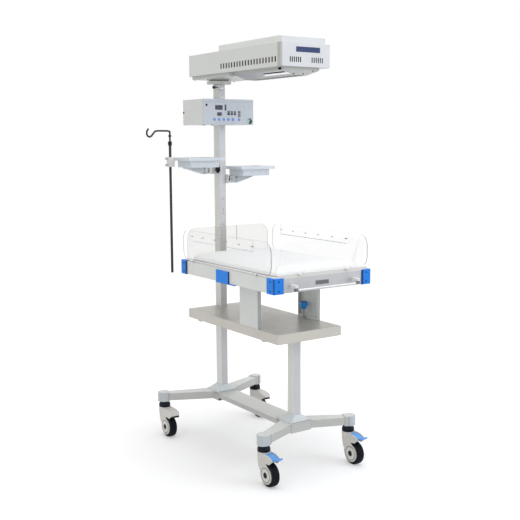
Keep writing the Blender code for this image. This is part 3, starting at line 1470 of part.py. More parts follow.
def make_tray(name, side, arm):
    """A pan with a wide folded rim, on a wedge that carries the hinge lug."""
    bottom = ARM_BOTTOMS[name]
    pan_bottom = bottom + ARM_HEIGHT + GAP
    top = pan_bottom + TRAY_DEPTH
    rim_bottom = top - TRAY_RIM
    rim = block(side * TRAY_INNER, side * TRAY_OUTER, TRAY_FRONT, TRAY_REAR, rim_bottom, top)
    pan_x = (side * (TRAY_INNER + PAN_END_INSET), side * (TRAY_OUTER - PAN_END_INSET))
    pan_y = (TRAY_FRONT + PAN_FRONT_INSET, TRAY_REAR - PAN_REAR_INSET)
    pan = block(*pan_x, *pan_y, pan_bottom, top - LAP / 2)
    well = block(
        pan_x[0] + side * SHEET,
        pan_x[1] - side * SHEET,
        pan_y[0] + SHEET,
        pan_y[1] - SHEET,
        pan_bottom + SHEET,
        top + OVERRUN,
    )
    under = block(
        side * (TRAY_INNER + SHEET),
        side * (TRAY_OUTER - SHEET),
        TRAY_FRONT + SHEET,
        TRAY_REAR - SHEET,
        rim_bottom - OVERRUN,
        top - RIM_PLATE,
    )
    lug_low = bottom + CLEVIS_PLATE + GAP
    lug_high = bottom + ARM_HEIGHT - CLEVIS_PLATE + LAP / 2 - GAP
    pin = (side * PIN_X, PIN_Y)
    wedge = [
        (side * WEDGE_START, bottom),
        (side * ARM_END, pan_bottom - ARM_TIP + LAP),
        (side * ARM_END, pan_bottom + LAP / 2),
        (side * WEDGE_START, pan_bottom + LAP / 2),
    ]
    origin = (*pin, bottom)
    web_y = (PIN_Y - LUG_DISC / 2, PIN_Y + LUG_DISC / 2)
    last_joins = [
        pan,
        prism(wedge, PIN_Y - ARM_HALF, PIN_Y + ARM_HALF - LAP, "Y"),
        rod((*pin, lug_low), (*pin, lug_high), LUG_DISC),
        block(pin[0], side * (WEDGE_START + LAP), *web_y, lug_low, lug_high),
    ]
    bore = rod((*pin, lug_low - OVERRUN / 2), (*pin, lug_high + OVERRUN / 3), PIN_RADIUS + GAP)
    return piece(
        f"tray_{name}",
        rim,
        "tray_paint",
        origin,
        arm,
        cuts=[under],
        last_joins=last_joins,
        last_cuts=[well, bore],
    )


def make_tray_knob(name, side, arm, knob_z, plate_x):
    """The clamp knob beside the column, with its shank through the arm's plate."""
    start = plate_x + side * GAP
    centre = (start, TRAY_KNOB_Y, knob_z)
    shank_end = -side * (SIDE_PLATE - GAP)
    profile = [
        (TRAY_KNOB_SHANK, shank_end),
        (TRAY_KNOB_SHANK, 0),
        (TRAY_KNOB_RADIUS, 0),
        (TRAY_KNOB_RADIUS, side * TRAY_KNOB_THICK),
    ]
    piece(f"tray_knob_{name}", turned(profile, centre, "X"), "black_plastic", centre, arm)


# IV pole
CLAMP_REAR = 0.346
CLAMP_FRONT = 0.3205
CLAMP_LEFT = 0.012
CLAMP_DROP = 0.0435
CLAMP_ABOVE = 0.002
IV_KNOB_RADIUS = 0.0055
IV_KNOB_LENGTH = 0.013
IV_KNOB_SHANK = 0.002
IV_KNOB_DEEP = 0.003
IV_KNOB_PLACES = {"upper": 0.006, "lower": 0.035}
RING_LENGTH = 0.018
RING_LAP = 0.010
POLE_RING_RADIUS = 0.009
ROD_INSERTED = 0.429
COLLAR_RADIUS = 0.007
COLLAR_RISE = 0.032
COLLAR_HALF = 0.004
HOOK_Z_ABOVE = 0.055
# The hook's path, as (share of its reach to the left, share of its height) from its bend
HOOK_REACH = 0.116
HOOK_HEIGHT = 0.027
HOOK_SHARES = (
    (0.03, 0.93),
    (0.10, 1.0),
    (0.55, 1.0),
    (0.64, 0.92),
    (0.72, 0.55),
    (0.79, 0.18),
    (0.87, 0.0),
    (0.95, 0.12),
    (1.0, 0.50),
    (0.985, 0.95),
    (0.92, 1.35),
)


def make_pole(tray, tray_top):
    """The clamp on the left tray's end, the tube in it, the lock ring, and the rod with its hook."""
    x = POLE_X
    y = POLE_Y
    clamp_x = (-TRAY_OUTER - GAP, x - CLAMP_LEFT)
    clamp_top = tray_top + CLAMP_ABOVE
    clamp_z = (clamp_top - CLAMP_DROP, clamp_top)
    clamp = block(*clamp_x, CLAMP_FRONT, CLAMP_REAR, *clamp_z)
    bore = POLE_TUBE_RADIUS + GAP
    cuts = [rod((x, y, clamp_z[0] - OVERRUN), (x, y, clamp_z[1] + OVERRUN), bore)]
    face = x - CLAMP_LEFT
    for drop in IV_KNOB_PLACES.values():
        z = clamp_top - drop
        ends = ((face - OVERRUN, y, z), (face + IV_KNOB_DEEP + GAP, y, z))
        cuts.append(rod(*ends, IV_KNOB_SHANK + GAP, ROUND_STEPS // 2))
    clamp_obj = piece("iv_clamp", clamp, "white_plastic", (x, y, clamp_z[0]), tray, cuts=cuts)
    for name, drop in IV_KNOB_PLACES.items():
        centre = (face - GAP, y, clamp_top - drop)
        profile = (
            (IV_KNOB_RADIUS, -IV_KNOB_LENGTH),
            (IV_KNOB_RADIUS, 0),
            (IV_KNOB_SHANK, 0),
            (IV_KNOB_SHANK, IV_KNOB_DEEP),
        )
        knob = turned(profile, centre, "X", ROUND_STEPS // 2)
        piece(f"iv_knob_{name}", knob, "black_plastic", centre, clamp_obj)
    tube_top = clamp_top + POLE_ABOVE_CLAMP
    wall = (POLE_ROD_RADIUS + GAP, POLE_TUBE_RADIUS)
    profile = (
        (wall[1], 0),
        (wall[1], POLE_TUBE_LENGTH),
        (wall[0], POLE_TUBE_LENGTH),
        (wall[0], 0),
    )
    start = (x, y, tube_top - POLE_TUBE_LENGTH)
    tube = piece("iv_tube", turned(profile, start, bored=True), "steel", start, clamp_obj)
    ring_start = (x, y, tube_top - RING_LAP)
    profile = (
        (POLE_RING_RADIUS, 0),
        (POLE_RING_RADIUS, RING_LENGTH),
        (wall[0], RING_LENGTH),
        (wall[0], RING_LAP + GAP),
        (bore, RING_LAP + GAP),
        (bore, 0),
    )
    piece("iv_ring", turned(profile, ring_start, bored=True), "black_plastic", ring_start, tube)
    rod_start = (x, y, tube_top - ROD_INSERTED)
    bend_z = tube_top + HOOK_Z_ABOVE
    path = [rod_start, (x, y, bend_z - POLE_ROD_RADIUS)]
    hook_base = bend_z - HOOK_HEIGHT
    for across_share, up_share in HOOK_SHARES:
        path.append((x - across_share * HOOK_REACH, y, hook_base + up_share * HOOK_HEIGHT))
    collar_z = tube_top + COLLAR_RISE
    collar = rod((x, y, collar_z - COLLAR_HALF), (x, y, collar_z + COLLAR_HALF), COLLAR_RADIUS)
    hooked = swept(path, POLE_ROD_RADIUS, ROUND_STEPS // 2)
    piece("iv_rod", hooked, "steel", rod_start, tube, joins=[collar])


def make_trays():
    for name, side in SIDES.items():
        arm, knob_z, plate_x = make_arm(name, side)
        tray = make_tray(name, side, arm)
        make_tray_knob(name, side, arm, knob_z, plate_x)
        if name == "left":
            make_pole(tray, ARM_BOTTOMS[name] + ARM_HEIGHT + GAP + TRAY_DEPTH)


def stand_on_origin():
    """Moves the whole stand so that the middle of its footprint's box is over the origin."""
    bpy.context.view_layer.update()
    graph = bpy.context.evaluated_depsgraph_get()
    corners = []
    for obj in bpy.context.scene.objects:
        if obj.type != "MESH" or obj.hide_render:
            continue
        evaluated = obj.evaluated_get(graph)
        mesh = evaluated.to_mesh()
        corners += [evaluated.matrix_world @ vert.co for vert in mesh.vertices]
        evaluated.to_mesh_clear()
    for axis in (0, 1):
        values = [corner[axis] for corner in corners]
        ROOT.location[axis] = -(min(values) + max(values)) / 2
    ROOT.location[2] = -min(corner[2] for corner in corners)
    print("moved by", [round(value, 5) for value in ROOT.location])


clear_scene()
ROOT = bpy.data.objects.new("stand", None)
bpy.context.scene.collection.objects.link(ROOT)
make_base()
make_posts()
make_shelf()
make_supports()
make_release()
make_casters()
bed_deck = make_deck()
make_bed_frame(bed_deck)
make_corners(bed_deck)
make_mattress(bed_deck)
make_clips(bed_deck)
make_handle(bed_deck)
make_side_panels(bed_deck)
make_end_panels(bed_deck)
make_swivel()
make_swivel_knob()
make_heater(make_hood())
make_control_box()
make_trays()
stand_on_origin()
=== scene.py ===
# %% [markdown]
# # Dressing an infant radiant warmer
#
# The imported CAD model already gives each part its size, its place and what it moves with. This lesson gives
# the parts the look of the real ones: pressed sheet metal with soft edges, anodised posts and rails, clear
# walls, a padded mattress, moulded plastic and rubber. Most sheet-metal parts need no new shape, only
# rounded edges and a finish. The parts that a quick stand-in gets wrong are modelled again here.

import json
import math

import bmesh
import bpy
from mathutils import Matrix, Vector


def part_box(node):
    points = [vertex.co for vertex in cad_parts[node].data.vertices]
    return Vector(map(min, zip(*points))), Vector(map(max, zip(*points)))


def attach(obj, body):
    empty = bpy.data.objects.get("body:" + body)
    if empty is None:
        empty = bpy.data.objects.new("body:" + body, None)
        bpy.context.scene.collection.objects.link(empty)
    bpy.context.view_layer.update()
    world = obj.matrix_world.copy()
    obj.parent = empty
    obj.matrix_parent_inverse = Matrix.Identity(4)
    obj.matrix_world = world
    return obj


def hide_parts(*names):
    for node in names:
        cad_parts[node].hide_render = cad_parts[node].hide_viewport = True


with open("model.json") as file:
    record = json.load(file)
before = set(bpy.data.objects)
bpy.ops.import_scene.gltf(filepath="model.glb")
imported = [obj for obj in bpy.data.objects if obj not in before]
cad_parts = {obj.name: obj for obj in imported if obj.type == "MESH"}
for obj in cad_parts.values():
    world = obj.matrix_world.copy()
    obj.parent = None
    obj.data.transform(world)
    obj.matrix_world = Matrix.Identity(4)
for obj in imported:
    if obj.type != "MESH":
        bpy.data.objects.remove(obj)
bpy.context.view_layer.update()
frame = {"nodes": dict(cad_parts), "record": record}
body_of = {node: body for body, nodes in frame["record"]["behaviour"]["bodies"].items() for node in nodes}
slot_of = {part["node"]: part["material_slot"] for part in frame["record"]["subparts"]}
SIDES = {"left": -1, "right": 1}

# %% [markdown]
# ## The camera
#
# The photograph was taken from the front left with a long lens, a little above the mattress. The place, the
# turn and the lens come from matching the model's corners with the same corners in the picture. A camera
# looks down its own -Z, so it is tipped up from straight down, then turned about the world's Z.

# %% Set the camera
CAMERA_PLACE = (-2.1366, -3.1836, 1.3865)
CAMERA_YAW, CAMERA_PITCH, CAMERA_ROLL = 34.251, 7.682, -0.29

bpy.ops.object.camera_add(location=CAMERA_PLACE)
camera = bpy.context.object
camera.data.sensor_width = 36
camera.data.lens = 61.17
tipped = Matrix.Rotation(math.radians(90 - CAMERA_PITCH), 4, "X")
rolled = Matrix.Rotation(math.radians(CAMERA_ROLL), 4, "Z")
camera.rotation_euler = (Matrix.Rotation(math.radians(-CAMERA_YAW), 4, "Z") @ tipped @ rolled).to_euler()
bpy.context.scene.camera = camera
bpy.context.scene.view_settings.view_transform = "Standard"
print("lens", camera.data.lens, "mm")

# %% [markdown]
# ## The studio
#
# The product stands in a white studio with a soft shadow on the floor. More light would bleach the paint, so
# the white comes from the floor and the world instead: rays from the camera, from gloss and through glass
# see them brighter than the light that they give. Three large soft boxes shape the object: one above, a
# wide one from the front right, because the front faces are the lighter ones, and a weak one from the left.

# %% World and floor
WORLD_LIGHT = 0.62
# The floor's glow fades towards the object: painted shade, which darkens the floor under and round it.
FLOOR_GLOW_AND_SHADE = {"From Min": 0.2, "From Max": 1.6, "To Min": 0.29, "To Max": 0.60}
FLOOR_VALUES = {
    "Base Color": (0.78, 0.78, 0.79, 1),
    "Roughness": 0.9,
    "Specular IOR Level": 0.0,
    "Emission Color": (1, 1, 1, 1),
}


def set_inputs(node, values):
    for name, value in values.items():
        node.inputs[name].default_value = value


def add_node(owner, kind, values=None, **settings):
    """A shader node in the owner's tree, with some of its inputs and settings set."""
    node = owner.node_tree.nodes.new(kind)
    for name, value in settings.items():
        setattr(node, name, value)
    set_inputs(node, values or {})
    return node


def wire(owner, source, target):
    owner.node_tree.links.new(source, target)


def shader_of(look):
    return look.node_tree.nodes["Principled BSDF"]


def seen_directly(owner):
    """A value of 1 for rays from the camera, from gloss and through glass, and 0 for other rays."""
    path = add_node(owner, "ShaderNodeLightPath")
    value = path.outputs["Is Camera Ray"]
    for ray in ("Is Glossy Ray", "Is Transmission Ray"):
        either = add_node(owner, "ShaderNodeMath", operation="MAXIMUM")
        wire(owner, value, either.inputs[0])
        wire(owner, path.outputs[ray], either.inputs[1])
        value = either.outputs[0]
    return value


world = bpy.context.scene.world or bpy.data.worlds.new("studio")
bpy.context.scene.world = world
world.use_nodes = True
strength = add_node(world, "ShaderNodeMapRange", {"To Min": WORLD_LIGHT, "To Max": 1.0})
background = world.node_tree.nodes["Background"]
background.inputs["Color"].default_value = (1, 1, 1, 1)
wire(world, seen_directly(world), strength.inputs["Value"])
wire(world, strength.outputs["Result"], background.inputs["Strength"])

bpy.ops.object.select_all(action="DESELECT")
bpy.ops.mesh.primitive_plane_add(size=60, location=(0, 0, 0))
floor = bpy.context.object
floor.name = "studio_floor"
floor_look = bpy.data.materials.new("studio_floor")
floor_look.use_nodes = True
set_inputs(shader_of(floor_look), FLOOR_VALUES)
coords = add_node(floor_look, "ShaderNodeTexCoord")
from_middle = add_node(floor_look, "ShaderNodeVectorMath", operation="LENGTH")
glow_and_shade = add_node(floor_look, "ShaderNodeMapRange", FLOOR_GLOW_AND_SHADE, interpolation_type="SMOOTHSTEP")
shown = add_node(floor_look, "ShaderNodeMath", operation="MULTIPLY")
wire(floor_look, coords.outputs["Object"], from_middle.inputs[0])
wire(floor_look, from_middle.outputs["Value"], glow_and_shade.inputs["Value"])
wire(floor_look, glow_and_shade.outputs["Result"], shown.inputs[0])
wire(floor_look, seen_directly(floor_look), shown.inputs[1])
wire(floor_look, shown.outputs[0], shader_of(floor_look).inputs["Emission Strength"])
floor.data.materials.append(floor_look)
print("world light", WORLD_LIGHT)

# %% Soft boxes
AIM = Vector((0, 0, 0.9))


def add_softbox(name, place, size, power, colour):
    """A square area lamp that faces the middle of the object."""
    bpy.ops.object.light_add(type="AREA", location=place)
    lamp = bpy.context.object
    lamp.name = name
    lamp.data.size = size
    lamp.data.energy = power
    lamp.data.color = colour
    lamp.rotation_euler = (AIM - Vector(place)).to_track_quat("-Z", "Y").to_euler()
    return lamp


add_softbox("box_above", (0.3, -0.4, 3.6), 2.6, 41, (1.0, 1.0, 1.0))
add_softbox("box_front_right", (2.2, -3.2, 2.2), 2.2, 34, (0.86, 0.93, 1.0))
add_softbox("box_left", (-3.2, -1.0, 1.8), 2.2, 13, (1.0, 1.0, 0.94))
print("three soft boxes")

# %% [markdown]
# ## Finishes
#
# Every finish is built the same way on one Principled shader: a broad, faint change of colour, a slow change
# of roughness where hands and cloths have been, and a fine grain in the bump. All of it reads the object's
# own coordinates in metres, so a grain of 900 is about one millimetre wide on every part. A stretched
# pattern gives the drawn lines of an extrusion.


# %% Tools for finishes
def noise(look, scale, detail=3.0, stretch=(1, 1, 1)):
    """A noise over the object's own coordinates, finer along the axes that are stretched."""
    coords = add_node(look, "ShaderNodeTexCoord")
    mapping = add_node(look, "ShaderNodeMapping", {"Scale": stretch})
    texture = add_node(look, "ShaderNodeTexNoise", {"Scale": scale, "Detail": detail})
    wire(look, coords.outputs["Object"], mapping.inputs["Vector"])
    wire(look, mapping.outputs["Vector"], texture.inputs["Vector"])
    return texture.outputs["Fac"]


def colour_between(look, fac, dark, light, low=0.35, high=0.65):
    """The base colour runs from dark to light as fac does from low to high."""
    ramp = add_node(look, "ShaderNodeValToRGB")
    first, last = ramp.color_ramp.elements
    first.position, last.position = low, high
    first.color, last.color = (*dark, 1), (*light, 1)
    wire(look, fac, ramp.inputs["Fac"])
    wire(look, ramp.outputs["Color"], shader_of(look).inputs["Base Color"])
    return ramp


def roughness_between(look, fac, low, high):
    spread = add_node(look, "ShaderNodeMapRange", {"From Min": 0.3, "From Max": 0.7, "To Min": low, "To Max": high})
    wire(look, fac, spread.inputs["Value"])
    wire(look, spread.outputs["Result"], shader_of(look).inputs["Roughness"])


def bump(look, height, strength, depth):
    """Raises the surface by height times depth, on top of a bump that is already there."""
    relief = add_node(look, "ShaderNodeBump", {"Strength": strength, "Distance": depth})
    normal = shader_of(look).inputs["Normal"]
    if normal.links:
        wire(look, normal.links[0].from_socket, relief.inputs["Normal"])
    wire(look, height, relief.inputs["Height"])
    wire(look, relief.outputs["Normal"], normal)


looks = {}


def new_look(
    name, colour, rough, spread=0.03, grain=900.0, depth=0.00006, stretch=(1, 1, 1), metallic=0.0, coat=0.0, sheen=0.5
):
    """A finish with a faint mottle, a slow change of roughness and a fine grain; sheen is its mirror strength."""
    look = looks[name] = bpy.data.materials.new(name)
    look.use_nodes = True
    values = {"Metallic": metallic, "Coat Weight": coat, "Specular IOR Level": sheen, "Coat Roughness": 0.15}
    set_inputs(shader_of(look), values)
    dark = [value * (1 - spread) for value in colour]
    light = [min(value * (1 + spread), 1) for value in colour]
    colour_between(look, noise(look, 7.0, 4.0), dark, light)
    roughness_between(look, noise(look, 26.0, 5.0), max(rough - 0.06, 0.02), rough + 0.06)
    bump(look, noise(look, grain, 2.0, stretch), 0.35, depth)
    return look


# %% [markdown]
# ### Paint, metal and plastic
#
# Powder coat has an orange-peel grain about a millimetre wide and a soft gloss. Anodised extrusions show fine
# lines along their length, so their grain is stretched hard across it. Moulded plastic has a finer, sharper
# grain from the mould, and rubber is dull with a little dust in it.

# %% Paint, metal and plastic finishes
LINES_ALONG_Z = (1, 1, 0.01)
LINES_ALONG_Y = (1, 0.01, 1)

# name, colour, roughness, spread of the mottle, grain, its depth, its stretch, metallic
new_look("cream_paint", (0.73, 0.745, 0.72), 0.34, 0.02, coat=0.2)
new_look("cream_shade", (0.50, 0.51, 0.49), 0.40, 0.02)
new_look("cap_paint", (0.56, 0.605, 0.63), 0.38, 0.02, coat=0.1)
# Lighter, bluer paint for the base's sloped skirts: painted light.
new_look("skirt_painted_light", (0.74, 0.785, 0.81), 0.36, 0.02, coat=0.1)
new_look("leg_shade", (0.575, 0.58, 0.56), 0.38, 0.02)
# Paler paint of the hood's cover; on the right support it is painted light.
new_look("cover_paint", (0.80, 0.82, 0.80), 0.34, 0.02, coat=0.2)
new_look("tray_paint", (0.70, 0.75, 0.80), 0.32, 0.02, coat=0.2)
new_look("aluminium", (0.60, 0.60, 0.62), 0.42, 0.02, 1800, 0.00003, LINES_ALONG_Z, 0.20)
# Lighter paint for the posts' left faces: painted light.
new_look("post_side", (0.76, 0.78, 0.74), 0.44, 0.02, 1800, 0.00003, LINES_ALONG_Z, 0.10)
new_look("rail_side", (0.76, 0.775, 0.745), 0.42, 0.02, 1400, 0.00003, metallic=0.10)
new_look("front_rail", (0.565, 0.57, 0.585), 0.38, 0.03, 1400, 0.00003, metallic=0.20)
new_look("lip_beige", (0.76, 0.75, 0.725), 0.40, 0.02, 1400, 0.00003)
new_look("shelf_steel", (0.57, 0.545, 0.495), 0.36, 0.03, 1500, 0.00004, LINES_ALONG_Y, 0.30)
new_look("steel", (0.60, 0.60, 0.61), 0.24, 0.03, 2500, 0.00002, LINES_ALONG_Z, 0.9)
new_look("pole_steel", (0.035, 0.035, 0.037), 0.32, 0.05, 2500, 0.00002, LINES_ALONG_Z, 0.1, sheen=0.3)
new_look("rod_grey", (0.40, 0.40, 0.41), 0.30, 0.05, 2500, 0.00002, LINES_ALONG_Z, 0.3)
# Bluer paint for the hood's front faces: painted light.
new_look("front_painted_light", (0.685, 0.695, 0.72), 0.34, 0.02, coat=0.1)
new_look("pan_grey", (0.55, 0.56, 0.54), 0.36, 0.02, coat=0.1)
# Darker paint for the supports' front faces: painted shade.
new_look("support_edge", (0.50, 0.51, 0.50), 0.38, 0.02)
new_look("knob_blue", (0.02, 0.33, 0.95), 0.40, 0.05, 2200, 0.00004, sheen=0.3)
new_look("blue_plastic", (0.008, 0.235, 0.86), 0.42, 0.05, 2200, 0.00004, sheen=0.3)
new_look("blue_shade", (0.010, 0.040, 0.17), 0.45, 0.08, 2200, 0.00004, sheen=0.2)
new_look("blue_groove", (0.010, 0.090, 0.36), 0.45, 0.08, 2200, 0.00004, sheen=0.2)
new_look("pedal_blue", (0.16, 0.43, 0.92), 0.45, 0.05, 1800, 0.00005, sheen=0.3)
new_look("caster_grey", (0.70, 0.675, 0.635), 0.40, 0.03, 1600, 0.00005, coat=0.1)
new_look("cover_grey", (0.72, 0.715, 0.675), 0.40, 0.04, 1600, 0.00004, coat=0.2)
new_look("groove_grey", (0.30, 0.29, 0.26), 0.50, 0.06, 1600, 0.00004)
new_look("black_plastic", (0.008, 0.009, 0.011), 0.45, 0.12, 1800, 0.00005, sheen=0.2)
new_look("spool_black", (0.005, 0.009, 0.017), 0.36, 0.12, 1800, 0.00003, sheen=0.15)
new_look("tyre_rubber", (0.0045, 0.0065, 0.010), 0.58, 0.20, 1200, 0.00008, sheen=0.12)
new_look("reflector", (0.80, 0.80, 0.82), 0.14, 0.02, 300, 0.00010, metallic=1.0)
new_look("green_plastic", (0.008, 0.13, 0.075), 0.16, 0.08, 900, 0.00003, coat=0.8)
# Pale green of the button's ring; on the lens's left part it is a painted highlight.
new_look("green_ring", (0.55, 0.72, 0.66), 0.30, 0.03, 1800, 0.00003, coat=0.3)
new_look("white_plastic", (0.80, 0.80, 0.79), 0.38, 0.02, 1800, 0.00004)
new_look("guard_grey", (0.50, 0.49, 0.52), 0.34, 0.04, 1500, 0.00003, metallic=0.2)
# A polished strip on the heater guard, paler than metal: partly a painted highlight.
new_look("polished_highlight", (0.90, 0.90, 0.91), 0.10, 0.02, 300, 0.00005, metallic=0.6)
new_look("wire_cream", (0.74, 0.70, 0.60), 0.34, 0.03, 1800, 0.00003)
new_look("clear_grip", (0.56, 0.56, 0.55), 0.30, 0.04, 1500, 0.00004, coat=0.3)
new_look("teal_knob", (0.015, 0.055, 0.075), 0.34, 0.08, 1800, 0.00004, sheen=0.3)
new_look("dark_screw", (0.06, 0.06, 0.065), 0.34, 0.10, 2500, 0.00003, metallic=0.6)
# Flat black for screws and a clip; in the vents and the guard's opening it is painted shade.
new_look("vent_black", (0.012, 0.012, 0.012), 0.80, 0.20, 1200, 0.00005, sheen=0.1)
new_look("navy_plate", (0.042, 0.063, 0.17), 0.45, 0.06, 2400, 0.00002, sheen=0.2)
# Dark grey of the printed label; as the sleeves under the handle's bosses it is painted shade.
new_look("label_grey", (0.16, 0.165, 0.18), 0.38, 0.08, 2400, 0.00002)
new_look("display_black", (0.014, 0.017, 0.028), 0.30, 0.06, 2400, 0.00001, sheen=0.2)
new_look("display_lit", (0.20, 0.20, 0.25), 0.40, 0.04, 2400, 0.00001)
new_look("key_grey", (0.10, 0.105, 0.135), 0.40, 0.05, 2400, 0.00002)
new_look("key_brown", (0.13, 0.075, 0.10), 0.40, 0.05, 2400, 0.00002)
new_look("key_blue", (0.055, 0.24, 0.70), 0.40, 0.05, 2400, 0.00002)
new_look("key_mark", (0.36, 0.55, 0.86), 0.40, 0.03, 2400, 0.00002)
new_look("mark_grey", (0.42, 0.44, 0.48), 0.40, 0.04, 2400, 0.00002)
new_look("panel_film", (0.57, 0.615, 0.685), 0.38, 0.015, 2000, 0.00002, coat=0.1)
new_look("grommet_grey", (0.16, 0.17, 0.18), 0.40, 0.05, 1800, 0.00003)
new_look("strip_blue", (0.36, 0.48, 0.66), 0.40, 0.05, 1800, 0.00003)
print(len(looks), "finishes so far")

# %% [markdown]
# ### Clear walls
#
# Clear acrylic is nearly invisible face on, catches the light at a glancing angle and is bright along its cut
# edges. A refracting solid shows that, but a sheet of it also casts a hard dark shadow. A sheet that is nearly
# transparent casts hardly any, and the mattress behind it stays bright.


# %% Clear and glassy finishes
CLEAR = {
    "clear_acrylic": ((0.55, 0.56, 0.55), 0.972),
    "acrylic_faint": ((0.50, 0.51, 0.49), 0.930),
    "acrylic_cream": ((0.44, 0.42, 0.33), 0.855),
    "acrylic_edge": ((0.42, 0.42, 0.41), 0.45),
    "acrylic_pale": ((0.60, 0.62, 0.62), 0.90),
    # The side walls' dark front ends: painted shade.
    "acrylic_dark": ((0.22, 0.24, 0.27), 0.30),
}
for name, (tint, clarity) in CLEAR.items():
    look = new_look(name, tint, 0.06, 0.01, 40, 0.00002)
    set_inputs(shader_of(look), {"IOR": 1.49, "Alpha": 1 - clarity})
new_look("quartz", (0.045, 0.040, 0.042), 0.22, 0.06, 500, 0.00005, coat=0.6)
print(len(CLEAR), "clear finishes, and quartz")

# %% [markdown]
# ### Coated cloth
#
# The mattress cover is a smooth coated cloth that wipes clean. Two crossed wave patterns a little over a
# millimetre apart make its weave, almost filled by the coating, and a slow noise adds the creases that a
# cover has even when it is stretched over its pad.


# %% The mattress finish
def weave(look, scale):
    """Crossed threads, from two wave textures at right angles."""
    coords = add_node(look, "ShaderNodeTexCoord")
    threads = []
    for direction in ("X", "Y"):
        values = {"Scale": scale, "Distortion": 0.4, "Detail": 1.0}
        wave = add_node(look, "ShaderNodeTexWave", values, bands_direction=direction)
        wire(look, coords.outputs["Object"], wave.inputs["Vector"])
        threads.append(wave.outputs["Fac"])
    both = add_node(look, "ShaderNodeMath", operation="MAXIMUM")
    wire(look, threads[0], both.inputs[0])
    wire(look, threads[1], both.inputs[1])
    return both.outputs[0]


cloth_look = new_look("mattress_cover", (0.945, 0.955, 0.96), 0.55, 0.008, 60, 0.0003)
set_inputs(shader_of(cloth_look), {"Sheen Weight": 0.25})
bump(cloth_look, weave(cloth_look, 130.0), 0.25, 0.00012)
print("mattress finish made")

# %% [markdown]
# ## Tools for shapes
#
# A primitive is added at its place, worked on in edit mode and finished with modifiers. Each step needs the
# same care: an operator acts on all that is selected, so everything else is deselected first, and a finished
# piece has its place in its mesh, with the object itself at the origin.


# %% Choosing and finishing
def choose(piece):
    """Leaves edit mode and makes this piece the only one that an operator acts on."""
    if bpy.context.object and bpy.context.object.mode != "OBJECT":
        bpy.ops.object.mode_set(mode="OBJECT")
    bpy.ops.object.select_all(action="DESELECT")
    piece.select_set(True)
    bpy.context.view_layer.objects.active = piece


def leave_edit():
    bpy.ops.object.mode_set(mode="OBJECT")


def freeze(piece):
    """Puts the piece's place, turn and size in its mesh."""
    choose(piece)
    bpy.ops.object.transform_apply(location=True, rotation=True, scale=True)


def edit_all(piece):
    """Edit mode with everything selected."""
    choose(piece)
    bpy.ops.object.mode_set(mode="EDIT")
    bpy.ops.mesh.select_all(action="SELECT")


def pick_faces(piece, wanted):
    """In edit mode, selects the faces that wanted(middle, normal) is true for, and says how many."""
    if piece.mode != "EDIT":
        edit_all(piece)
    bpy.ops.mesh.select_mode(type="FACE")
    bpy.ops.mesh.select_all(action="DESELECT")
    mesh = bmesh.from_edit_mesh(piece.data)
    found = [face for face in mesh.faces if wanted(face.calc_center_median(), face.normal)]
    for face in found:
        face.select_set(True)
    bmesh.update_edit_mesh(piece.data)
    return len(found)


def repaint(piece, look, wanted):
    """Gives the faces that wanted is true for a second finish."""
    piece.data.materials.append(looks[look])
    count = pick_faces(piece, wanted)
    piece.active_material_index = len(piece.data.materials) - 1
    bpy.ops.object.material_slot_assign()
    leave_edit()
    return count


def apply_modifier(piece, kind, **settings):
    """Adds a modifier, sets it and applies it."""
    choose(piece)
    modifier = piece.modifiers.new(kind.lower(), kind)
    for name, value in settings.items():
        setattr(modifier, name, value)
    bpy.ops.object.modifier_apply(modifier=modifier.name)


def round_edges(piece, width, segments=2, angle=32):
    """Bevels every edge that is sharper than the angle."""
    limit = math.radians(angle)
    apply_modifier(
        piece, "BEVEL", width=width, segments=segments, limit_method="ANGLE", angle_limit=limit, use_clamp_overlap=False
    )


def settle(piece, body, slot, look=None, replaces=()):
    """Puts the piece's place in its mesh, gives it its finish, hangs it on its body and hides the nodes it replaces."""
    freeze(piece)
    bpy.ops.object.shade_smooth_by_angle(angle=math.radians(35))
    apply_modifier(piece, "WEIGHTED_NORMAL", keep_sharp=True)
    piece.data.materials.clear()
    piece.data.materials.append(looks[look or slot])
    if replaces:
        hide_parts(*replaces)
    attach(piece, body)
    return piece


def settle_as(piece, node, look=None, replaces=False):
    """Settles the piece with the body and the slot of a CAD node, and in its place if it replaces it."""
    return settle(piece, body_of[node], slot_of[node], look, [node] if replaces else ())


# %% [markdown]
# ### Blocks, round parts and drawn outlines
#
# Most small parts start as one of four shapes. A block is a cube set to two corners. A round part is a
# cylinder. A plate is an outline drawn point by point, filled and pushed out to its thickness, as a part is
# laser-cut from sheet or moulded straight up. A turned part is a profile spun round an axis, as on a lathe.

# %% Adding shapes
TURNS = {"X": (0, math.radians(90), 0), "Y": (math.radians(90), 0, 0), "Z": (0, 0, 0)}


def box_of(node):
    """A CAD node's lowest corner, highest corner and middle."""
    low, high = (Vector(corner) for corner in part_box(node))
    return low, high, (low + high) / 2


def add_block(name, low, high, edge=0.0):
    """A box between two corners, its edges rounded by edge."""
    bpy.ops.mesh.primitive_cube_add(size=1, location=[(a + b) / 2 for a, b in zip(low, high)])
    piece = bpy.context.object
    piece.name = name
    piece.scale = [abs(b - a) for a, b in zip(low, high)]
    freeze(piece)
    if edge:
        round_edges(piece, edge)
    return piece


def add_round(name, middle, radius, length, axis="Z", sides=32, edge=0.0):
    """A cylinder along an axis, its rims rounded by edge."""
    bpy.ops.mesh.primitive_cylinder_add(
        vertices=sides, radius=radius, depth=length, location=middle, rotation=TURNS[axis]
    )
    piece = bpy.context.object
    piece.name = name
    freeze(piece)
    if edge:
        round_edges(piece, edge, angle=50)
    return piece


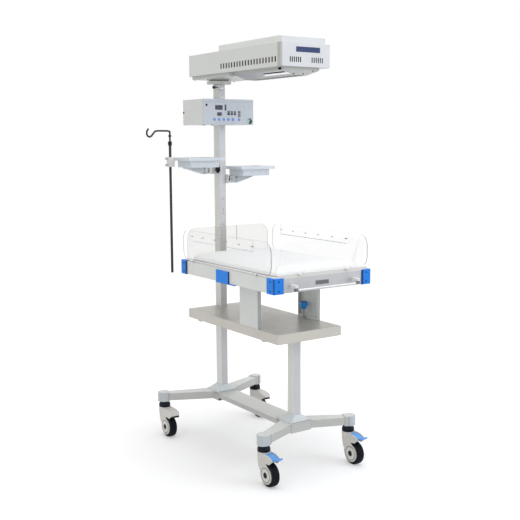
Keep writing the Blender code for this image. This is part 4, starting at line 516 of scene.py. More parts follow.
def draw_line(name, points):
    """A line drawn point by point, in edit mode: a plane merged to one corner, then extruded step by step."""
    if bpy.context.object and bpy.context.object.mode != "OBJECT":
        leave_edit()
    bpy.ops.mesh.primitive_plane_add(size=0.01, location=(0, 0, 0))
    piece = bpy.context.object
    piece.name = name
    bpy.ops.object.mode_set(mode="EDIT")
    bpy.ops.mesh.select_mode(type="VERT")
    bpy.ops.mesh.select_all(action="SELECT")
    bpy.ops.mesh.merge(type="CENTER")
    points = [Vector(point) for point in points]
    bpy.ops.transform.translate(value=points[0])
    for here, there in zip(points, points[1:]):
        bpy.ops.mesh.extrude_vertices_move(TRANSFORM_OT_translate={"value": there - here})
    return piece


def add_plate(name, points, push, edge=0.0, segments=2):
    """An outline drawn point by point, filled and pushed out to a solid."""
    piece = draw_line(name, points)
    bpy.ops.mesh.select_all(action="SELECT")
    bpy.ops.mesh.edge_face_add()
    bpy.ops.mesh.extrude_region_move(TRANSFORM_OT_translate={"value": push})
    bpy.ops.mesh.select_all(action="SELECT")
    bpy.ops.mesh.normals_make_consistent(inside=False)
    leave_edit()
    if edge:
        round_edges(piece, edge, segments)
    return piece


def add_turned(name, profile, middle=(0, 0, 0), axis="Z", steps=48):
    """A profile of (radius, height) pairs spun round an axis."""
    piece = draw_line(name, [(radius, 0, height) for radius, height in profile])
    bpy.ops.mesh.select_all(action="SELECT")
    bpy.ops.mesh.spin(steps=steps, angle=math.tau, center=(0, 0, 0), axis=(0, 0, 1))
    bpy.ops.mesh.select_all(action="SELECT")
    bpy.ops.mesh.remove_doubles(threshold=0.000005)
    bpy.ops.mesh.normals_make_consistent(inside=False)
    leave_edit()
    piece.rotation_euler = TURNS[axis]
    piece.location = middle
    freeze(piece)
    return piece


def combine(piece, other, operation):
    """A Boolean of piece with other, which is used up."""
    apply_modifier(piece, "BOOLEAN", object=other, operation=operation, solver="EXACT")
    bpy.data.objects.remove(other)
    return piece


def joined(name, parts):
    """Parts that don't move against each other, as one object."""
    choose(parts[0])
    for part in parts:
        part.select_set(True)
    bpy.ops.object.join()
    bpy.context.object.name = name
    return bpy.context.object


def copy_at(piece, name, offset, mirror_x=False):
    """A copy with its own mesh, moved by offset, and first mirrored across X if asked."""
    other = piece.copy()
    other.data = piece.data.copy()
    other.name = name
    bpy.context.scene.collection.objects.link(other)
    if mirror_x:
        edit_all(other)
        bpy.ops.transform.mirror(constraint_axis=(True, False, False), center_override=(0, 0, 0))
        bpy.ops.mesh.flip_normals()
        leave_edit()
    other.location = offset
    freeze(other)
    return other


def circle(middle, radius, start, end, steps):
    """Points of an arc from one angle to another, in degrees, as (a, b) pairs."""
    angles = [math.radians(start + (end - start) * i / steps) for i in range(steps + 1)]
    return [(middle[0] + radius * math.cos(angle), middle[1] + radius * math.sin(angle)) for angle in angles]


print("tools ready")

# %% [markdown]
# ## Sheet metal, castings and mouldings
#
# A CAD edge is perfectly sharp and looks black or vanishes, where a real one has a small radius that catches
# a line of light. So the sheet parts are copied and every sharp edge is bevelled by half a millimetre to two,
# as the real part's thickness suggests. Plain faces are first merged from their triangles; faces with holes in
# them only have their triangles paired, because one face can't hold a hole.

# %% Parts that only need softer edges
HOLED = ("hood_shell", "heater_pan", "lower_shelf", "bed_frame", "control_panel", "bed_deck", "swivel_flange")


def dressed(node, edge, segments=2, look=None):
    """A copy of a CAD node with rounded edges, which stands for the node."""
    mesh = frame["nodes"][node].data.copy()
    piece = bpy.data.objects.new(node + "_dressed", mesh)
    bpy.context.scene.collection.objects.link(piece)
    edit_all(piece)
    bpy.ops.mesh.customdata_custom_splitnormals_clear()
    bpy.ops.mesh.remove_doubles(threshold=0.00001)
    if node in HOLED:
        bpy.ops.mesh.tris_convert_to_quads(face_threshold=math.radians(1), shape_threshold=math.radians(180))
    else:
        bpy.ops.mesh.dissolve_limited(angle_limit=math.radians(1))
    leave_edit()
    round_edges(piece, edge, segments)
    return settle_as(piece, node, look, True)


EDGES = {
    0.0016: ("base_frame",),
    0.0014: ("hood_cover",),
    0.0010: (
        "corner_front_left", "corner_front_right", "corner_rear_left", "corner_rear_right", "rail_clip_left",
        "rail_clip_right", "control_case", "iv_clamp",
    ),
    0.0009: ("support_left", "support_right"),
    0.0008: (
        "rear_column", "front_post", "swivel_flange", "tray_arm_left", "tray_arm_right", "tray_left", "tray_right",
    ),
    0.0007: ("hood_shell",),
    0.0006: ("lower_shelf", "bed_frame", "bed_deck"),
    0.0004: ("heater_pan", "control_panel"),
}
OTHER_LOOKS = {
    "bed_frame": "rail_side",
    "control_panel": "panel_film",
    "hood_cover": "cover_paint",
    "heater_pan": "pan_grey",
    # The right support, in the bed's shadow, wears the paler cover paint: painted light.
    "support_right": "cover_paint",
}
pieces = {}
for edge, nodes in EDGES.items():
    for node in nodes:
        pieces[node] = dressed(node, edge, 3 if edge > 0.001 else 2, OTHER_LOOKS.get(node))
print(len(pieces), "parts with softer edges")

# %% [markdown]
# ### Two-tone parts, painted light and painted shade
#
# One extrusion can show two tones: the rail's front is anodised and its top lip is a paler strip. The blue end
# caps are open at their ends, and those ends are painted near black as shade. The other second finishes are
# painted light and shade too: the hood's fronts are painted bluer, the supports' fronts and the legs' sides
# darker, and the base's sloped skirts and the posts' left faces lighter. A second finish on some faces says that.

# %% Second finishes, with painted light and shade
RAIL_HEIGHT = 0.058
LEG_TOP = 0.2065
SLOT_COVER = 0.0079


def faces_front(middle, normal):
    return normal.y < -0.7


frame_low, frame_high, frame_middle = box_of("bed_frame")
rail_reach = frame_low.y + 0.03
lip_line = frame_low.z + RAIL_HEIGHT - 0.0005
repaint(pieces["bed_frame"], "front_rail", lambda middle, normal: normal.y < -0.7 and middle.y < rail_reach)
repaint(pieces["bed_frame"], "lip_beige", lambda middle, normal: middle.z > lip_line)
# Front faces painted bluer or darker: painted light and painted shade.
FRONT_PAINTED_LIGHT_AND_SHADE = {
    "corner_rear_left": "blue_shade",
    "rail_clip_left": "blue_shade",
    "hood_shell": "front_painted_light",
    "hood_cover": "front_painted_light",
    "support_left": "support_edge",
    "support_right": "support_edge",
}
for node, look in FRONT_PAINTED_LIGHT_AND_SHADE.items():
    repaint(pieces[node], look, faces_front)
base = pieces["base_frame"]
# Painted shade on the legs' sides, and painted light on the base's sloped skirts.
repaint(base, "leg_shade", lambda middle, normal: abs(normal.z) < 0.3 and middle.z < LEG_TOP)
repaint(base, "skirt_painted_light", lambda middle, normal: 0.3 < normal.z < 0.97 and middle.z > LEG_TOP)
# The posts' left faces are painted lighter, painted light, and a strip of the same painted light covers the slot.
for node in ("rear_column", "front_post"):
    low, high, middle = box_of(node)
    repaint(pieces[node], "post_side", lambda place, normal: normal.x < -0.7 and place.x < low.x + 0.001)
    corner = (low.x + 0.0003, middle.y - SLOT_COVER / 2, low.z + 0.002)
    opposite = (low.x + 0.0016, middle.y + SLOT_COVER / 2, high.z - 0.002)
    settle_as(add_block("slot_cover_" + node, corner, opposite, 0.0002), node, "post_side")
print("second finishes on", len(FRONT_PAINTED_LIGHT_AND_SHADE) + 4, "parts")

# %% [markdown]
# ### Dark seams and painted shade in the blue mouldings
#
# The corner blocks are two plates that meet in a groove, drawn as a dark line at the front-left block. The dark
# strips at a plate's end on the front-right and rear-left blocks are painted shade. Strips a few tenths of a
# millimetre proud draw those lines.

# %% Seams and painted shade strips
RISE = 0.0003
SEAM_IN = 0.002
SEAMS_AND_SHADE_STRIPS = {
    "seam_front_left": ("corner_front_left", (-RISE, -RISE), (0.0045, 0.0060), "blue_groove"),
    # The front-right and rear-left strips are painted shade.
    "seam_front_right": ("corner_front_right", (0, -RISE), (0.0090, 0.001), "blue_shade"),
    "seam_rear_left": ("corner_rear_left", (-RISE, 0), (0.001, 0.012), "blue_shade"),
}
for name, (node, (x0, y0), (x1, y1), look) in SEAMS_AND_SHADE_STRIPS.items():
    low, high, middle = box_of(node)
    corner, opposite = (low.x + x0, low.y + y0, low.z + SEAM_IN), (low.x + x1, low.y + y1, high.z - SEAM_IN)
    settle_as(add_block(name, corner, opposite, 0.0002), node, look)
print(len(SEAMS_AND_SHADE_STRIPS), "seams")

# %% [markdown]
# ### The front handle
#
# A thin steel bar runs under two white bosses. Under each boss a dark sleeve round the bar is painted shade,
# for the shade that falls beneath the boss.

# %% The handle
BAR_RADIUS = 0.0037
SHADE_SLEEVE_RADIUS = 0.0064
BOSS_LOW, BOSS_HIGH = 0.8182, 0.8315
low, high, middle = box_of("front_handle")
bar_y, bar_z = low.y + 0.0062, 0.8115
bar_length = high.x - low.x - 0.012
parts = []
for side, x0, x1 in (("left", low.x - 0.005, low.x + 0.011), ("right", high.x - 0.020, high.x - 0.003)):
    corner, opposite = (x0, low.y - 0.0005, BOSS_LOW), (x1, high.y, BOSS_HIGH)
    parts.append(add_block("handle_boss_" + side, corner, opposite, 0.0034))
    spot = ((x0 + x1) / 2, bar_y, bar_z)
    # A dark sleeve under the boss: painted shade.
    shade_sleeve = add_round("handle_shade_sleeve_" + side, spot, SHADE_SLEEVE_RADIUS, x1 - x0, "X", 24, 0.0012)
    settle_as(shade_sleeve, "front_handle", "label_grey")
settle_as(joined("handle_bosses", parts), "front_handle", "white_plastic", True)
bar = add_round("handle_bar", (middle.x - 0.0045, bar_y, bar_z), BAR_RADIUS, bar_length, "X", 24, 0.0006)
settle_as(bar, "front_handle", "steel")
print("handle bar of", round(bar_length * 1000), "mm")

# %% [markdown]
# ## Screws
#
# Screws hold the corner blocks, the hood's pan and the control box. A cap screw is a short cylinder with a
# rounded rim and a socket. It is turned once and copied, and the copies on one body are joined.

# %% Screws
SCREW = (
    (0, -0.0004), (0.0030, -0.0004), (0.0030, 0.0006), (0.0024, 0.0012), (0.0013, 0.0012), (0.0011, 0.0003),
    (0, 0.0003),
)


def add_screws(name, places, facing, body, scale=1.0, look="dark_screw"):
    """Copies of one screw at these places, their heads towards the facing direction, as one piece."""
    first = add_turned(name + "_one", [(r * scale, h * scale) for r, h in SCREW], steps=16)
    first.matrix_world = Vector(facing).to_track_quat("Z", "Y").to_matrix().to_4x4()
    freeze(first)
    parts = [copy_at(first, f"{name}_{i}", place) for i, place in enumerate(places)]
    bpy.data.objects.remove(first)
    return settle(joined(name, parts), body, "steel", look)


SCREW_HEIGHTS = (0.20, 0.80)
for end, toward in (("front", -1), ("rear", 1)):
    for side, sign in SIDES.items():
        node = f"corner_{end}_{side}"
        low, high, middle = box_of(node)
        heights = [low.z + (high.z - low.z) * share for share in SCREW_HEIGHTS]
        x, y = (low.x if sign < 0 else high.x), (low.y if toward < 0 else high.y)
        places = [(x, middle.y, z) for z in heights]
        add_screws(f"screws_{node}_{side}", places, (sign, 0, 0), "bed", 1.15, "blue_shade")
        places = [(middle.x, y, z) for z in heights]
        add_screws(f"screws_{node}_{end}", places, (0, toward, 0), "bed", 1.15, "blue_shade")
low, high, middle = box_of("control_case")
panel_low = box_of("control_panel")[0]
places = [(low.x + x, low.y + 0.006, low.z) for x in (0.008, 0.0515)]
add_screws("case_screws_bottom", places, (0, 0, -1), "stand", 2.0, "vent_black")
places = [(low.x, high.y - 0.006, low.z + 0.0565)]
add_screws("case_screw_left", places, (-1, 0, 0), "stand", 1.5, "vent_black")
column_low, column_high, column_middle = box_of("rear_column")
places = [(column_middle.x, column_low.y, z) for z in (1.626, 1.586)]
add_screws("column_screws", places, (0, -1, 0), "stand", 1.1, "steel")
print("screws in place")

# %% [markdown]
# ## The control panel
#
# The box's front is a printed film over two displays, a bar of level lamps, membrane keys and six
# round blue keys. Each stands a few tenths of a millimetre proud, so that its edge catches light. Their places
# are measured from the panel's lower left corner. The texts of the real film are left out; the displays show
# an ordinary skin temperature.

# %% Displays, keys and the socket
PANEL_SLOT = slot_of["control_panel"]
DISPLAYS = {
    "display_large": (0.0611, 0.0990, 0.0663, 0.0856, "36.5"),
    "display_small": (0.0709, 0.0945, 0.0401, 0.0545, "36.0"),
}
DARK_KEYS = ((0.1244, 0.1378), (0.1427, 0.1532), (0.1590, 0.1690))
LAST_KEYS = ((0.0525, 0.0614), (0.0441, 0.0505), (0.0359, 0.0420))
BLUE_KEYS = (0.0566, 0.0808, 0.1047, 0.1292, 0.1529, 0.1862)
BLUE_KEY_Z = 0.0235
LAMP_FIRST, LAMP_PITCH = 0.0655, 0.0040
SOCKET = (0.0163, 0.0865)
SOCKET_RING = (
    (0.0058, -0.0008), (0.0078, -0.0008), (0.0080, 0.0004), (0.0074, 0.0010), (0.0062, 0.0010), (0.0058, 0.0004),
    (0.0058, -0.0008),
)
MARKS = (
    (0.176, 0.184, 0.078), (0.176, 0.182, 0.071), (0.213, 0.218, 0.083), (0.213, 0.217, 0.072),
    (0.236, 0.242, 0.083), (0.237, 0.243, 0.072),
)
face_y = panel_low.y
left, bottom = low.x, low.z


def panel_block(name, x0, x1, z0, z1, look, rise=0.0006, edge=0.0003):
    """A low block on the panel's face, placed from the panel's lower left corner."""
    corner, opposite = (left + x0, face_y - rise, bottom + z0), (left + x1, face_y + 0.0004, bottom + z1)
    return settle(add_block(name, corner, opposite, edge), "stand", PANEL_SLOT, look)


def panel_round(name, x, z, push, radius, length, sides, edge, look):
    """A short cylinder on the panel, its middle pushed back from the face."""
    piece = add_round(name, (left + x, face_y + push, bottom + z), radius, length, "Y", sides, edge)
    return settle(piece, "stand", PANEL_SLOT, look)


def add_digits(name, words, size, place):
    """Raised digits on the panel's face."""
    bpy.ops.object.select_all(action="DESELECT")
    bpy.ops.object.text_add(location=(0, 0, 0))
    text = bpy.context.object
    text.name = name
    text.data.body = words
    text.data.size = size
    text.data.extrude = 0.0002
    text.data.resolution_u = 3
    text.data.align_x, text.data.align_y = "CENTER", "CENTER"
    bpy.ops.object.convert(target="MESH")
    text = bpy.context.object
    edit_all(text)
    bpy.ops.mesh.remove_doubles(threshold=0.00001)
    bpy.ops.mesh.normals_make_consistent(inside=False)
    leave_edit()
    text.rotation_euler = TURNS["Y"]
    text.location = place
    return settle(text, "stand", PANEL_SLOT, "display_lit")


for name, (x0, x1, z0, z1, digits) in DISPLAYS.items():
    panel_block(name, x0, x1, z0, z1, "display_black")
    place = (left + (x0 + x1) / 2, face_y - 0.0007, bottom + (z0 + z1) / 2)
    add_digits(name + "_digits", digits, (z1 - z0) * 0.95, place)
panel_block("level_lamps", 0.1102, 0.1187, 0.0626, 0.0891, "display_black")
lamps = []
for i in range(6):
    z = bottom + LAMP_FIRST + i * LAMP_PITCH
    corner, opposite = (left + 0.1125, face_y - 0.0009, z), (left + 0.1165, face_y - 0.0003, z + 0.0017)
    lamps.append(add_block(f"lamp_{i}", corner, opposite))
settle(joined("level_lamp_segments", lamps), "stand", PANEL_SLOT, "display_lit")
for i, (x0, x1) in enumerate(DARK_KEYS):
    panel_block(f"key_upper_{i}", x0, x1, 0.0522, 0.0610, "key_grey")
    panel_block(f"key_lower_{i}", x0, x1, 0.0432, 0.0514, "display_black")
for i, (z0, z1) in enumerate(LAST_KEYS):
    panel_block(f"key_last_{i}", 0.1802, 0.1938, z0, z1, "key_grey" if i == 0 else "key_brown")
for i, x in enumerate(BLUE_KEYS):
    panel_round(f"key_round_{i}", x, BLUE_KEY_Z, -0.0001, 0.0062, 0.0018, 32, 0.0005, "key_blue")
    panel_round(f"key_mark_{i}", x, BLUE_KEY_Z, -0.0011, 0.0022, 0.0004, 16, 0.0, "key_mark")
x, z = SOCKET
socket_ring = add_turned("socket_ring", SOCKET_RING, (left + x, face_y, bottom + z), "Y")
settle(socket_ring, "stand", PANEL_SLOT, "white_plastic")
panel_round("socket_core", x, z, 0.0012, 0.0055, 0.0024, 24, 0.0005, "display_black")
panel_block("lamp_small", 0.1130, 0.1150, 0.0540, 0.0558, "key_grey")
for i, (x0, x1, z) in enumerate(MARKS):
    panel_block(f"mark_{i}", x0, x1, z, z + 0.0022, "mark_grey", 0.0003, 0.0)
for i, (x0, x1) in enumerate(((0.145, 0.163), (0.058, 0.112))):
    panel_block(f"foot_line_{i}", x0, x1, 0.0098, 0.0108, "mark_grey", 0.0003, 0.0)
panel_block("top_strip", 0.0010, high.x - low.x - 0.0010, 0.1003, 0.1016, "mark_grey", 0.0004, 0.0)
print("control panel dressed")

# %% [markdown]
# ### The power button
#
# A green lens in a light ring. The lens is domed and glossy. Its right part is painted near black, and its left
# part is painted pale green, a painted highlight.

# %% The power button
button_low, button_high, button_middle = box_of("power_switch")
radius = (button_high.x - button_low.x) / 2
LENS = ((0, -0.006), (radius, -0.006), (radius, 0.0), (radius * 0.86, 0.0012), (radius * 0.5, 0.0020), (0, 0.0023))
RING_IN, RING_OUT = radius + 0.0006, radius + 0.0032
RING = (
    (RING_IN, -0.001), (RING_OUT, -0.001), (RING_OUT, 0.0008), (radius + 0.0022, 0.0016), (RING_IN, 0.0012),
    (RING_IN, -0.001),
)
DARK_FROM, HIGHLIGHT_TO = button_middle.x + radius * 0.15, button_middle.x - radius * 0.45
lens = add_turned("power_button", LENS, (button_middle.x, button_low.y + 0.0018, button_middle.z), "Y")
settle_as(lens, "power_switch", None, True)
# The lens's right part is painted near black.
repaint(lens, "display_black", lambda middle, normal: middle.x > DARK_FROM)
# The lens's left part is painted pale: a painted highlight.
repaint(lens, "green_ring", lambda middle, normal: middle.x < HIGHLIGHT_TO)
ring = add_turned("power_button_ring", RING, (button_middle.x, face_y, button_middle.z), "Y")
settle(ring, "stand", PANEL_SLOT, "green_ring")
print("button radius", round(radius * 1000, 1), "mm")

# %% [markdown]
# ## Casters
#
# A caster is the first thing that a plain stand-in gets wrong. The fork is one moulding: a round head under the
# swivel ring, a leg down each side of the wheel and a fender over it. Its side outline is drawn and pushed out
# to the width, cut back to a round nose seen from above, joined to its head and opened for the wheel. All four
# are copies of two: the front ones carry a pedal between the fork's cheeks, the rear ones have a full fender
# with a rubber stop under its nose.

# %% The caster's measures
TRAIL = 0.042
WHEEL = 0.050
HALF = 0.022
WELL = 0.0178
WELL_TOP = 0.1065
POCKET_FLOOR = 0.1125
HEAD_TOP = 0.137
HEAD = 0.0270
PLATE = 0.0375
STEMS = {}
for name in ("front_left", "front_right", "rear_left", "rear_right"):
    hub = box_of("caster_hub_" + name)[2]
    STEMS[name] = Vector((hub.x, hub.y + TRAIL, 0))
print("stems at", [tuple(round(value, 3) for value in stem) for stem in STEMS.values()])

# %% Two forks
LEG_BACK = [(0.0150, 0.1370), (0.0144, 0.1060), (0.0094, 0.0780), (0.0012, 0.0625)]
LEG_FRONT = [(-0.0460, 0.0925), (-0.0425, 0.0955), (-0.0425, 0.0975), (-0.0450, 0.0990)]
FENDER = [(-0.0640, 0.0985), (-0.0820, 0.0975), (-0.0960, 0.1095), (-0.1080, 0.1150), (-0.1160, 0.1175)]
FENDER_TOP = [(-0.1160, 0.1215), (-0.1080, 0.1260), (-0.0940, 0.1310), (-0.0760, 0.1352), (-0.0450, 0.1370)]
CHEEK = [(-0.0520, 0.0992), (-0.0655, 0.1000), (-0.0750, 0.1070), (-0.0885, 0.1180)]
CHEEK_TOP = [(-0.0900, 0.1212), (-0.0880, 0.1232), (-0.0700, 0.1318), (-0.0500, 0.1370)]


def add_fork(name, front, nose):
    """The fork's moulding, with its stem on the world's Z axis."""
    outline = LEG_BACK + circle((-TRAIL, WHEEL), PLATE, 14, -248, 26) + LEG_FRONT + front
    body = add_plate(name, [(-HALF, y, z) for y, z in outline], (2 * HALF, 0, 0))
    plan = [(-HALF, 0.03)] + circle((0, nose + HALF), HALF, 180, 360, 16) + [(HALF, 0.03)]
    mould = add_plate(name + "_plan", [(x, y, 0.0) for x, y in plan], (0, 0, 0.16))
    combine(body, mould, "INTERSECT")
    combine(body, add_round(name + "_head", (0, 0, 0.1215), HEAD, 0.0310, "Z", 48), "UNION")
    combine(body, add_block(name + "_well", (-WELL, -0.15, 0.0), (WELL, 0.04, WELL_TOP)), "DIFFERENCE")
    return body


fender_fork = add_fork("fender_fork", FENDER + FENDER_TOP, -0.1165)
cheek_fork = add_fork("cheek_fork", CHEEK + CHEEK_TOP, -0.112)
combine(cheek_fork, add_block("pedal_pocket", (-WELL, -0.13, POCKET_FLOOR), (WELL, -0.0262, 0.16)), "DIFFERENCE")
combine(cheek_fork, add_block("pedal_gap", (-WELL, -0.13, 0.09), (WELL, -0.0620, 0.16)), "DIFFERENCE")
for fork in (fender_fork, cheek_fork):
    round_edges(fork, 0.0010, 2)
print("forks of", len(fender_fork.data.polygons), "and", len(cheek_fork.data.polygons), "faces")

# %% [markdown]
# ### Cover discs, swivel ring, tyre and pedal
#
# The wheel's cover is a shallow dish with a darker groove round it and a black bolt in its middle. The swivel
# ring is a black spool: two flanges with a waist, so it shows a line of light on each flange. The tyre is wide
# and nearly flat across, with rounded shoulders and two fine grooves, and the pedal is a wedge that curls up at
# its tip.

# %% Turned caster parts
COVER_OUT = 0.0196
PEDAL_HALF = 0.0166
COVER = (
    (0.0110, 0.0), (0.0110, 0.0034), (0.0190, 0.0042), (0.0262, 0.0037), (0.0276, 0.0026), (0.0276, 0.0),
    (0.0110, 0.0),
)
GROOVE = ((0.0270, 0.0010), (0.0270, 0.0027), (0.0318, 0.0027), (0.0318, 0.0010), (0.0270, 0.0010))
BOLT = (
    (0, 0.0), (0.0124, 0.0), (0.0124, 0.0036), (0.0112, 0.0050), (0.0066, 0.0050), (0.0054, 0.0038), (0.0036, 0.0038),
    (0.0028, 0.0048), (0, 0.0048),
)
SPOOL = (
    (0, 0.0), (0.0252, 0.0), (0.0268, 0.0016), (0.0271, 0.0090), (0.0264, 0.0136), (0.0246, 0.0168), (0.0234, 0.0190),
    (0.0232, 0.0214), (0.0238, 0.0236), (0.0236, 0.0256), (0, 0.0256),
)
TREAD = (
    (0.0386, -0.0160), (0.0452, -0.0160), (0.0482, -0.0147), (0.0495, -0.0120), (0.0499, -0.0068), (0.0492, -0.0064),
    (0.0492, -0.0056), (0.0500, -0.0052),
)
PEDAL = (
    (-0.0270, 0.1335), (-0.0450, 0.1335), (-0.0600, 0.1302), (-0.0720, 0.1272), (-0.0820, 0.1262), (-0.0920, 0.1280),
    (-0.1000, 0.1318), (-0.1070, 0.1350), (-0.1100, 0.1328), (-0.1080, 0.1265), (-0.0970, 0.1208), (-0.0840, 0.1176),
    (-0.0740, 0.1176), (-0.0640, 0.1204), (-0.0300, 0.1190),
)

cover = add_turned("cover", COVER, (0, 0, 0), "X", 64)
groove = add_turned("groove", GROOVE, (0, 0, 0), "X", 64)
bolt = add_turned("bolt", BOLT, (0, 0, 0), "X", 32)
spool = add_turned("spool", SPOOL, (0, 0, HEAD_TOP + 0.0002), "Z", 48)
tread = TREAD + tuple((radius, -place) for radius, place in reversed(TREAD)) + TREAD[:1]
tyre = add_turned("tyre", tread, (0, 0, 0), "X", 72)
stop = add_round("stop", (0, -0.1085, 0.1115), 0.0046, 0.030, "X", 20, 0.0010)
pedal = add_plate("pedal", [(-PEDAL_HALF, y, z) for y, z in PEDAL], (2 * PEDAL_HALF, 0, 0), 0.0010, 2)
for name, stem in STEMS.items():
    braked = name.startswith("front")
    body = "fork_" + name
    fork = copy_at(cheek_fork if braked else fender_fork, "fork_moulding_" + name, stem)
    settle(fork, body, "caster_grey", replaces=["caster_fork_" + name])
    settle(copy_at(spool, "swivel_ring_" + name, stem), body, "caster_grey", "spool_black")
    for side, sign in SIDES.items():
        axle = stem + Vector((sign * COVER_OUT, -TRAIL, WHEEL))
        for part, look in ((cover, "cover_grey"), (groove, "groove_grey"), (bolt, "black_plastic")):
            settle(copy_at(part, f"{part.name}_{name}_{side}", axle, sign < 0), body, "caster_grey", look)
    wheel = copy_at(tyre, "tyre_" + name, stem + Vector((0, -TRAIL, WHEEL)))
    settle(wheel, "wheel_" + name, slot_of["caster_tyre_" + name], replaces=["caster_tyre_" + name])
    if braked:
        lever = copy_at(pedal, "pedal_lever_" + name, stem)
        settle(lever, "pedal_" + name, "pedal_blue", replaces=["brake_pedal_" + name])
    else:
        settle(copy_at(stop, "stop_" + name, stem), body, "caster_grey", "black_plastic")
for part in (fender_fork, cheek_fork, cover, groove, bolt, spool, tyre, stop, pedal):
    bpy.data.objects.remove(part)
print("four casters")

# %% [markdown]
# ### Leg caps
#
# The legs end in moulded caps, round at the end, a little wider than the leg and with a raised rim on top.
# Seen from above the outline is a stadium: two straight sides and a half circle round the stem.

# %% Leg caps
CAP = 0.0272
CAP_REACH = {"left": 0.0160, "right": 0.0005}
for name, stem in STEMS.items():
    root = box_of("rear_column" if name.startswith("rear") else "front_post")[2]
    root_y = root.y + (0.0 if name.startswith("rear") else 0.012)
    run = (stem - Vector((root.x, root_y, 0))).normalized()
    turn = math.atan2(run.y, run.x)
    inner = -CAP_REACH[name.split("_")[1]]
    outline = [(inner, -CAP)] + circle((0.0045, 0), CAP, -90, 90, 20) + [(inner, CAP)]
    cap = add_plate("leg_cap_" + name, [(x, y, 0.1636) for x, y in outline], (0, 0, 0.0440))
    pick_faces(cap, lambda middle, normal: normal.z > 0.9)
    bpy.ops.mesh.inset(thickness=0.0035)
    bpy.ops.transform.translate(value=(0, 0, -0.0010))
    leave_edit()
    round_edges(cap, 0.0016, 3)
    cap.rotation_euler = (0, 0, turn)
    cap.location = stem
    settle(cap, "stand", "cream_paint", "cap_paint")
print("leg caps")

# %% [markdown]
# ## Knobs
#
# A knob for a hand is lobed so that wet fingers can turn it. The lobes are a wave added to the circle's radius.
# The release knob under the bed tapers to its rod like a crown, and the clamp knobs are finely ribbed barrels
# on a steel shank.

# %% Knobs
def add_lobed(name, middle, radius, length, axis, lobes=6, depth=0.06, taper=1.0, edge=0.0006):
    """A lobed knob along an axis, narrower at its low end by taper."""
    outline = []
    for i in range(lobes * 8):
        angle = math.tau * i / (lobes * 8)
        reach = radius * (1 - depth + depth * math.cos(lobes * angle))
        outline.append((reach * math.cos(angle), reach * math.sin(angle), -length / 2))
    piece = add_plate(name, outline, (0, 0, length))
    pick_faces(piece, lambda place, normal: abs(normal.z) > 0.9 and place.z < 0)
    bpy.ops.transform.resize(value=(taper, taper, 1), center_override=(0, 0, -length / 2))
    leave_edit()
    round_edges(piece, edge, 2, 50)
    piece.rotation_euler = TURNS[axis]
    piece.location = middle
    freeze(piece)
    return piece


KNOB_DROP = 0.003
low, high, middle = box_of("tilt_knob")
rise, reach = high.z - low.z, (high.x - low.x) / 2
low.z, high.z = low.z - KNOB_DROP, high.z - KNOB_DROP
x, y = middle.x, middle.y
crown = add_lobed("release_crown", (x, y, high.z - rise * 0.28), reach, rise * 0.50, "Z", 8, 0.05, 1.0, 0.0008)
cone = add_lobed("release_cone", (x, y, low.z + rise * 0.26), reach * 0.90, rise * 0.50, "Z", 8, 0.04, 0.42, 0.0008)
collar = add_round("release_collar", (x, y, high.z - rise * 0.015), reach * 0.74, rise * 0.05, "Z", 32, 0.0003)
settle_as(joined("release_knob", [crown, cone]), "tilt_knob", "knob_blue", True)
settle_as(collar, "tilt_knob", "blue_shade")
for node in ("iv_knob_upper", "iv_knob_lower", "tray_knob_left", "tray_knob_right"):
    low, high, middle = box_of(node)
    length, radius = high.x - low.x, (high.z - low.z) / 2
    if node.startswith("tray"):
        grip = add_lobed(node + "_grip", middle, radius, length, "X", 5, 0.12, 0.94, 0.0008)
        settle_as(grip, node, "black_plastic", True)
        continue
    place = (low.x + length * 0.45, middle.y, middle.z)
    settle_as(add_lobed(node + "_grip", place, radius, length * 0.80, "X", 10, 0.05), node, "clear_grip", True)
    place = (middle.x + length * 0.1, middle.y, middle.z)
    settle_as(add_round(node + "_shank", place, radius * 0.4, length * 0.78, "X", 20), node, "steel")
low, high, middle = box_of("swivel_knob")
lock = add_lobed("swivel_lock", (low.x - 0.0055, middle.y, middle.z), 0.0068, 0.0125, "X", 6, 0.08, 0.9, 0.0006)
lock_pin = add_round("swivel_lock_pin", (low.x + 0.007, middle.y, middle.z), 0.0024, 0.017, "X", 16)
settle_as(joined("swivel_lock", [lock, lock_pin]), "swivel_knob", "teal_knob", True)
print("knobs made")

# %% [markdown]
# ## The hood's small parts
#
# A plate on the hood's front and a label on the bed's front rail are left bare. The vents' walls are painted black,
# and dark blocks behind the vents and dark bars over them are painted shade, for the dark inside of the hood. A
# darker band on the hood's front corner is painted shade too, and small screws hold the pan and its guard. The
# heater is a dark quartz tube between steel end caps, under a polished reflector.

# %% Plates, screws and the heater
PAN_BOTTOM = 1.6611
PLATE_LOW, PLATE_HIGH = 1.7348, 1.7560
VENT_LOW, VENT_HIGH = 1.6940, 1.7180
VENT_REACH, VENTS = 0.0042, 20
VENT_SHADE_LOW, VENT_SHADE_HIGH = 1.690, 1.722
LABEL_LOW, LABEL_HIGH = 0.8175, 0.8340
hood_low, hood_high, hood_middle = box_of("hood_shell")


def hood_block(name, corner, opposite, edge, look):
    """A small block that moves with the hood."""
    return settle(add_block(name, corner, opposite, edge), "hood", "cream_paint", look)


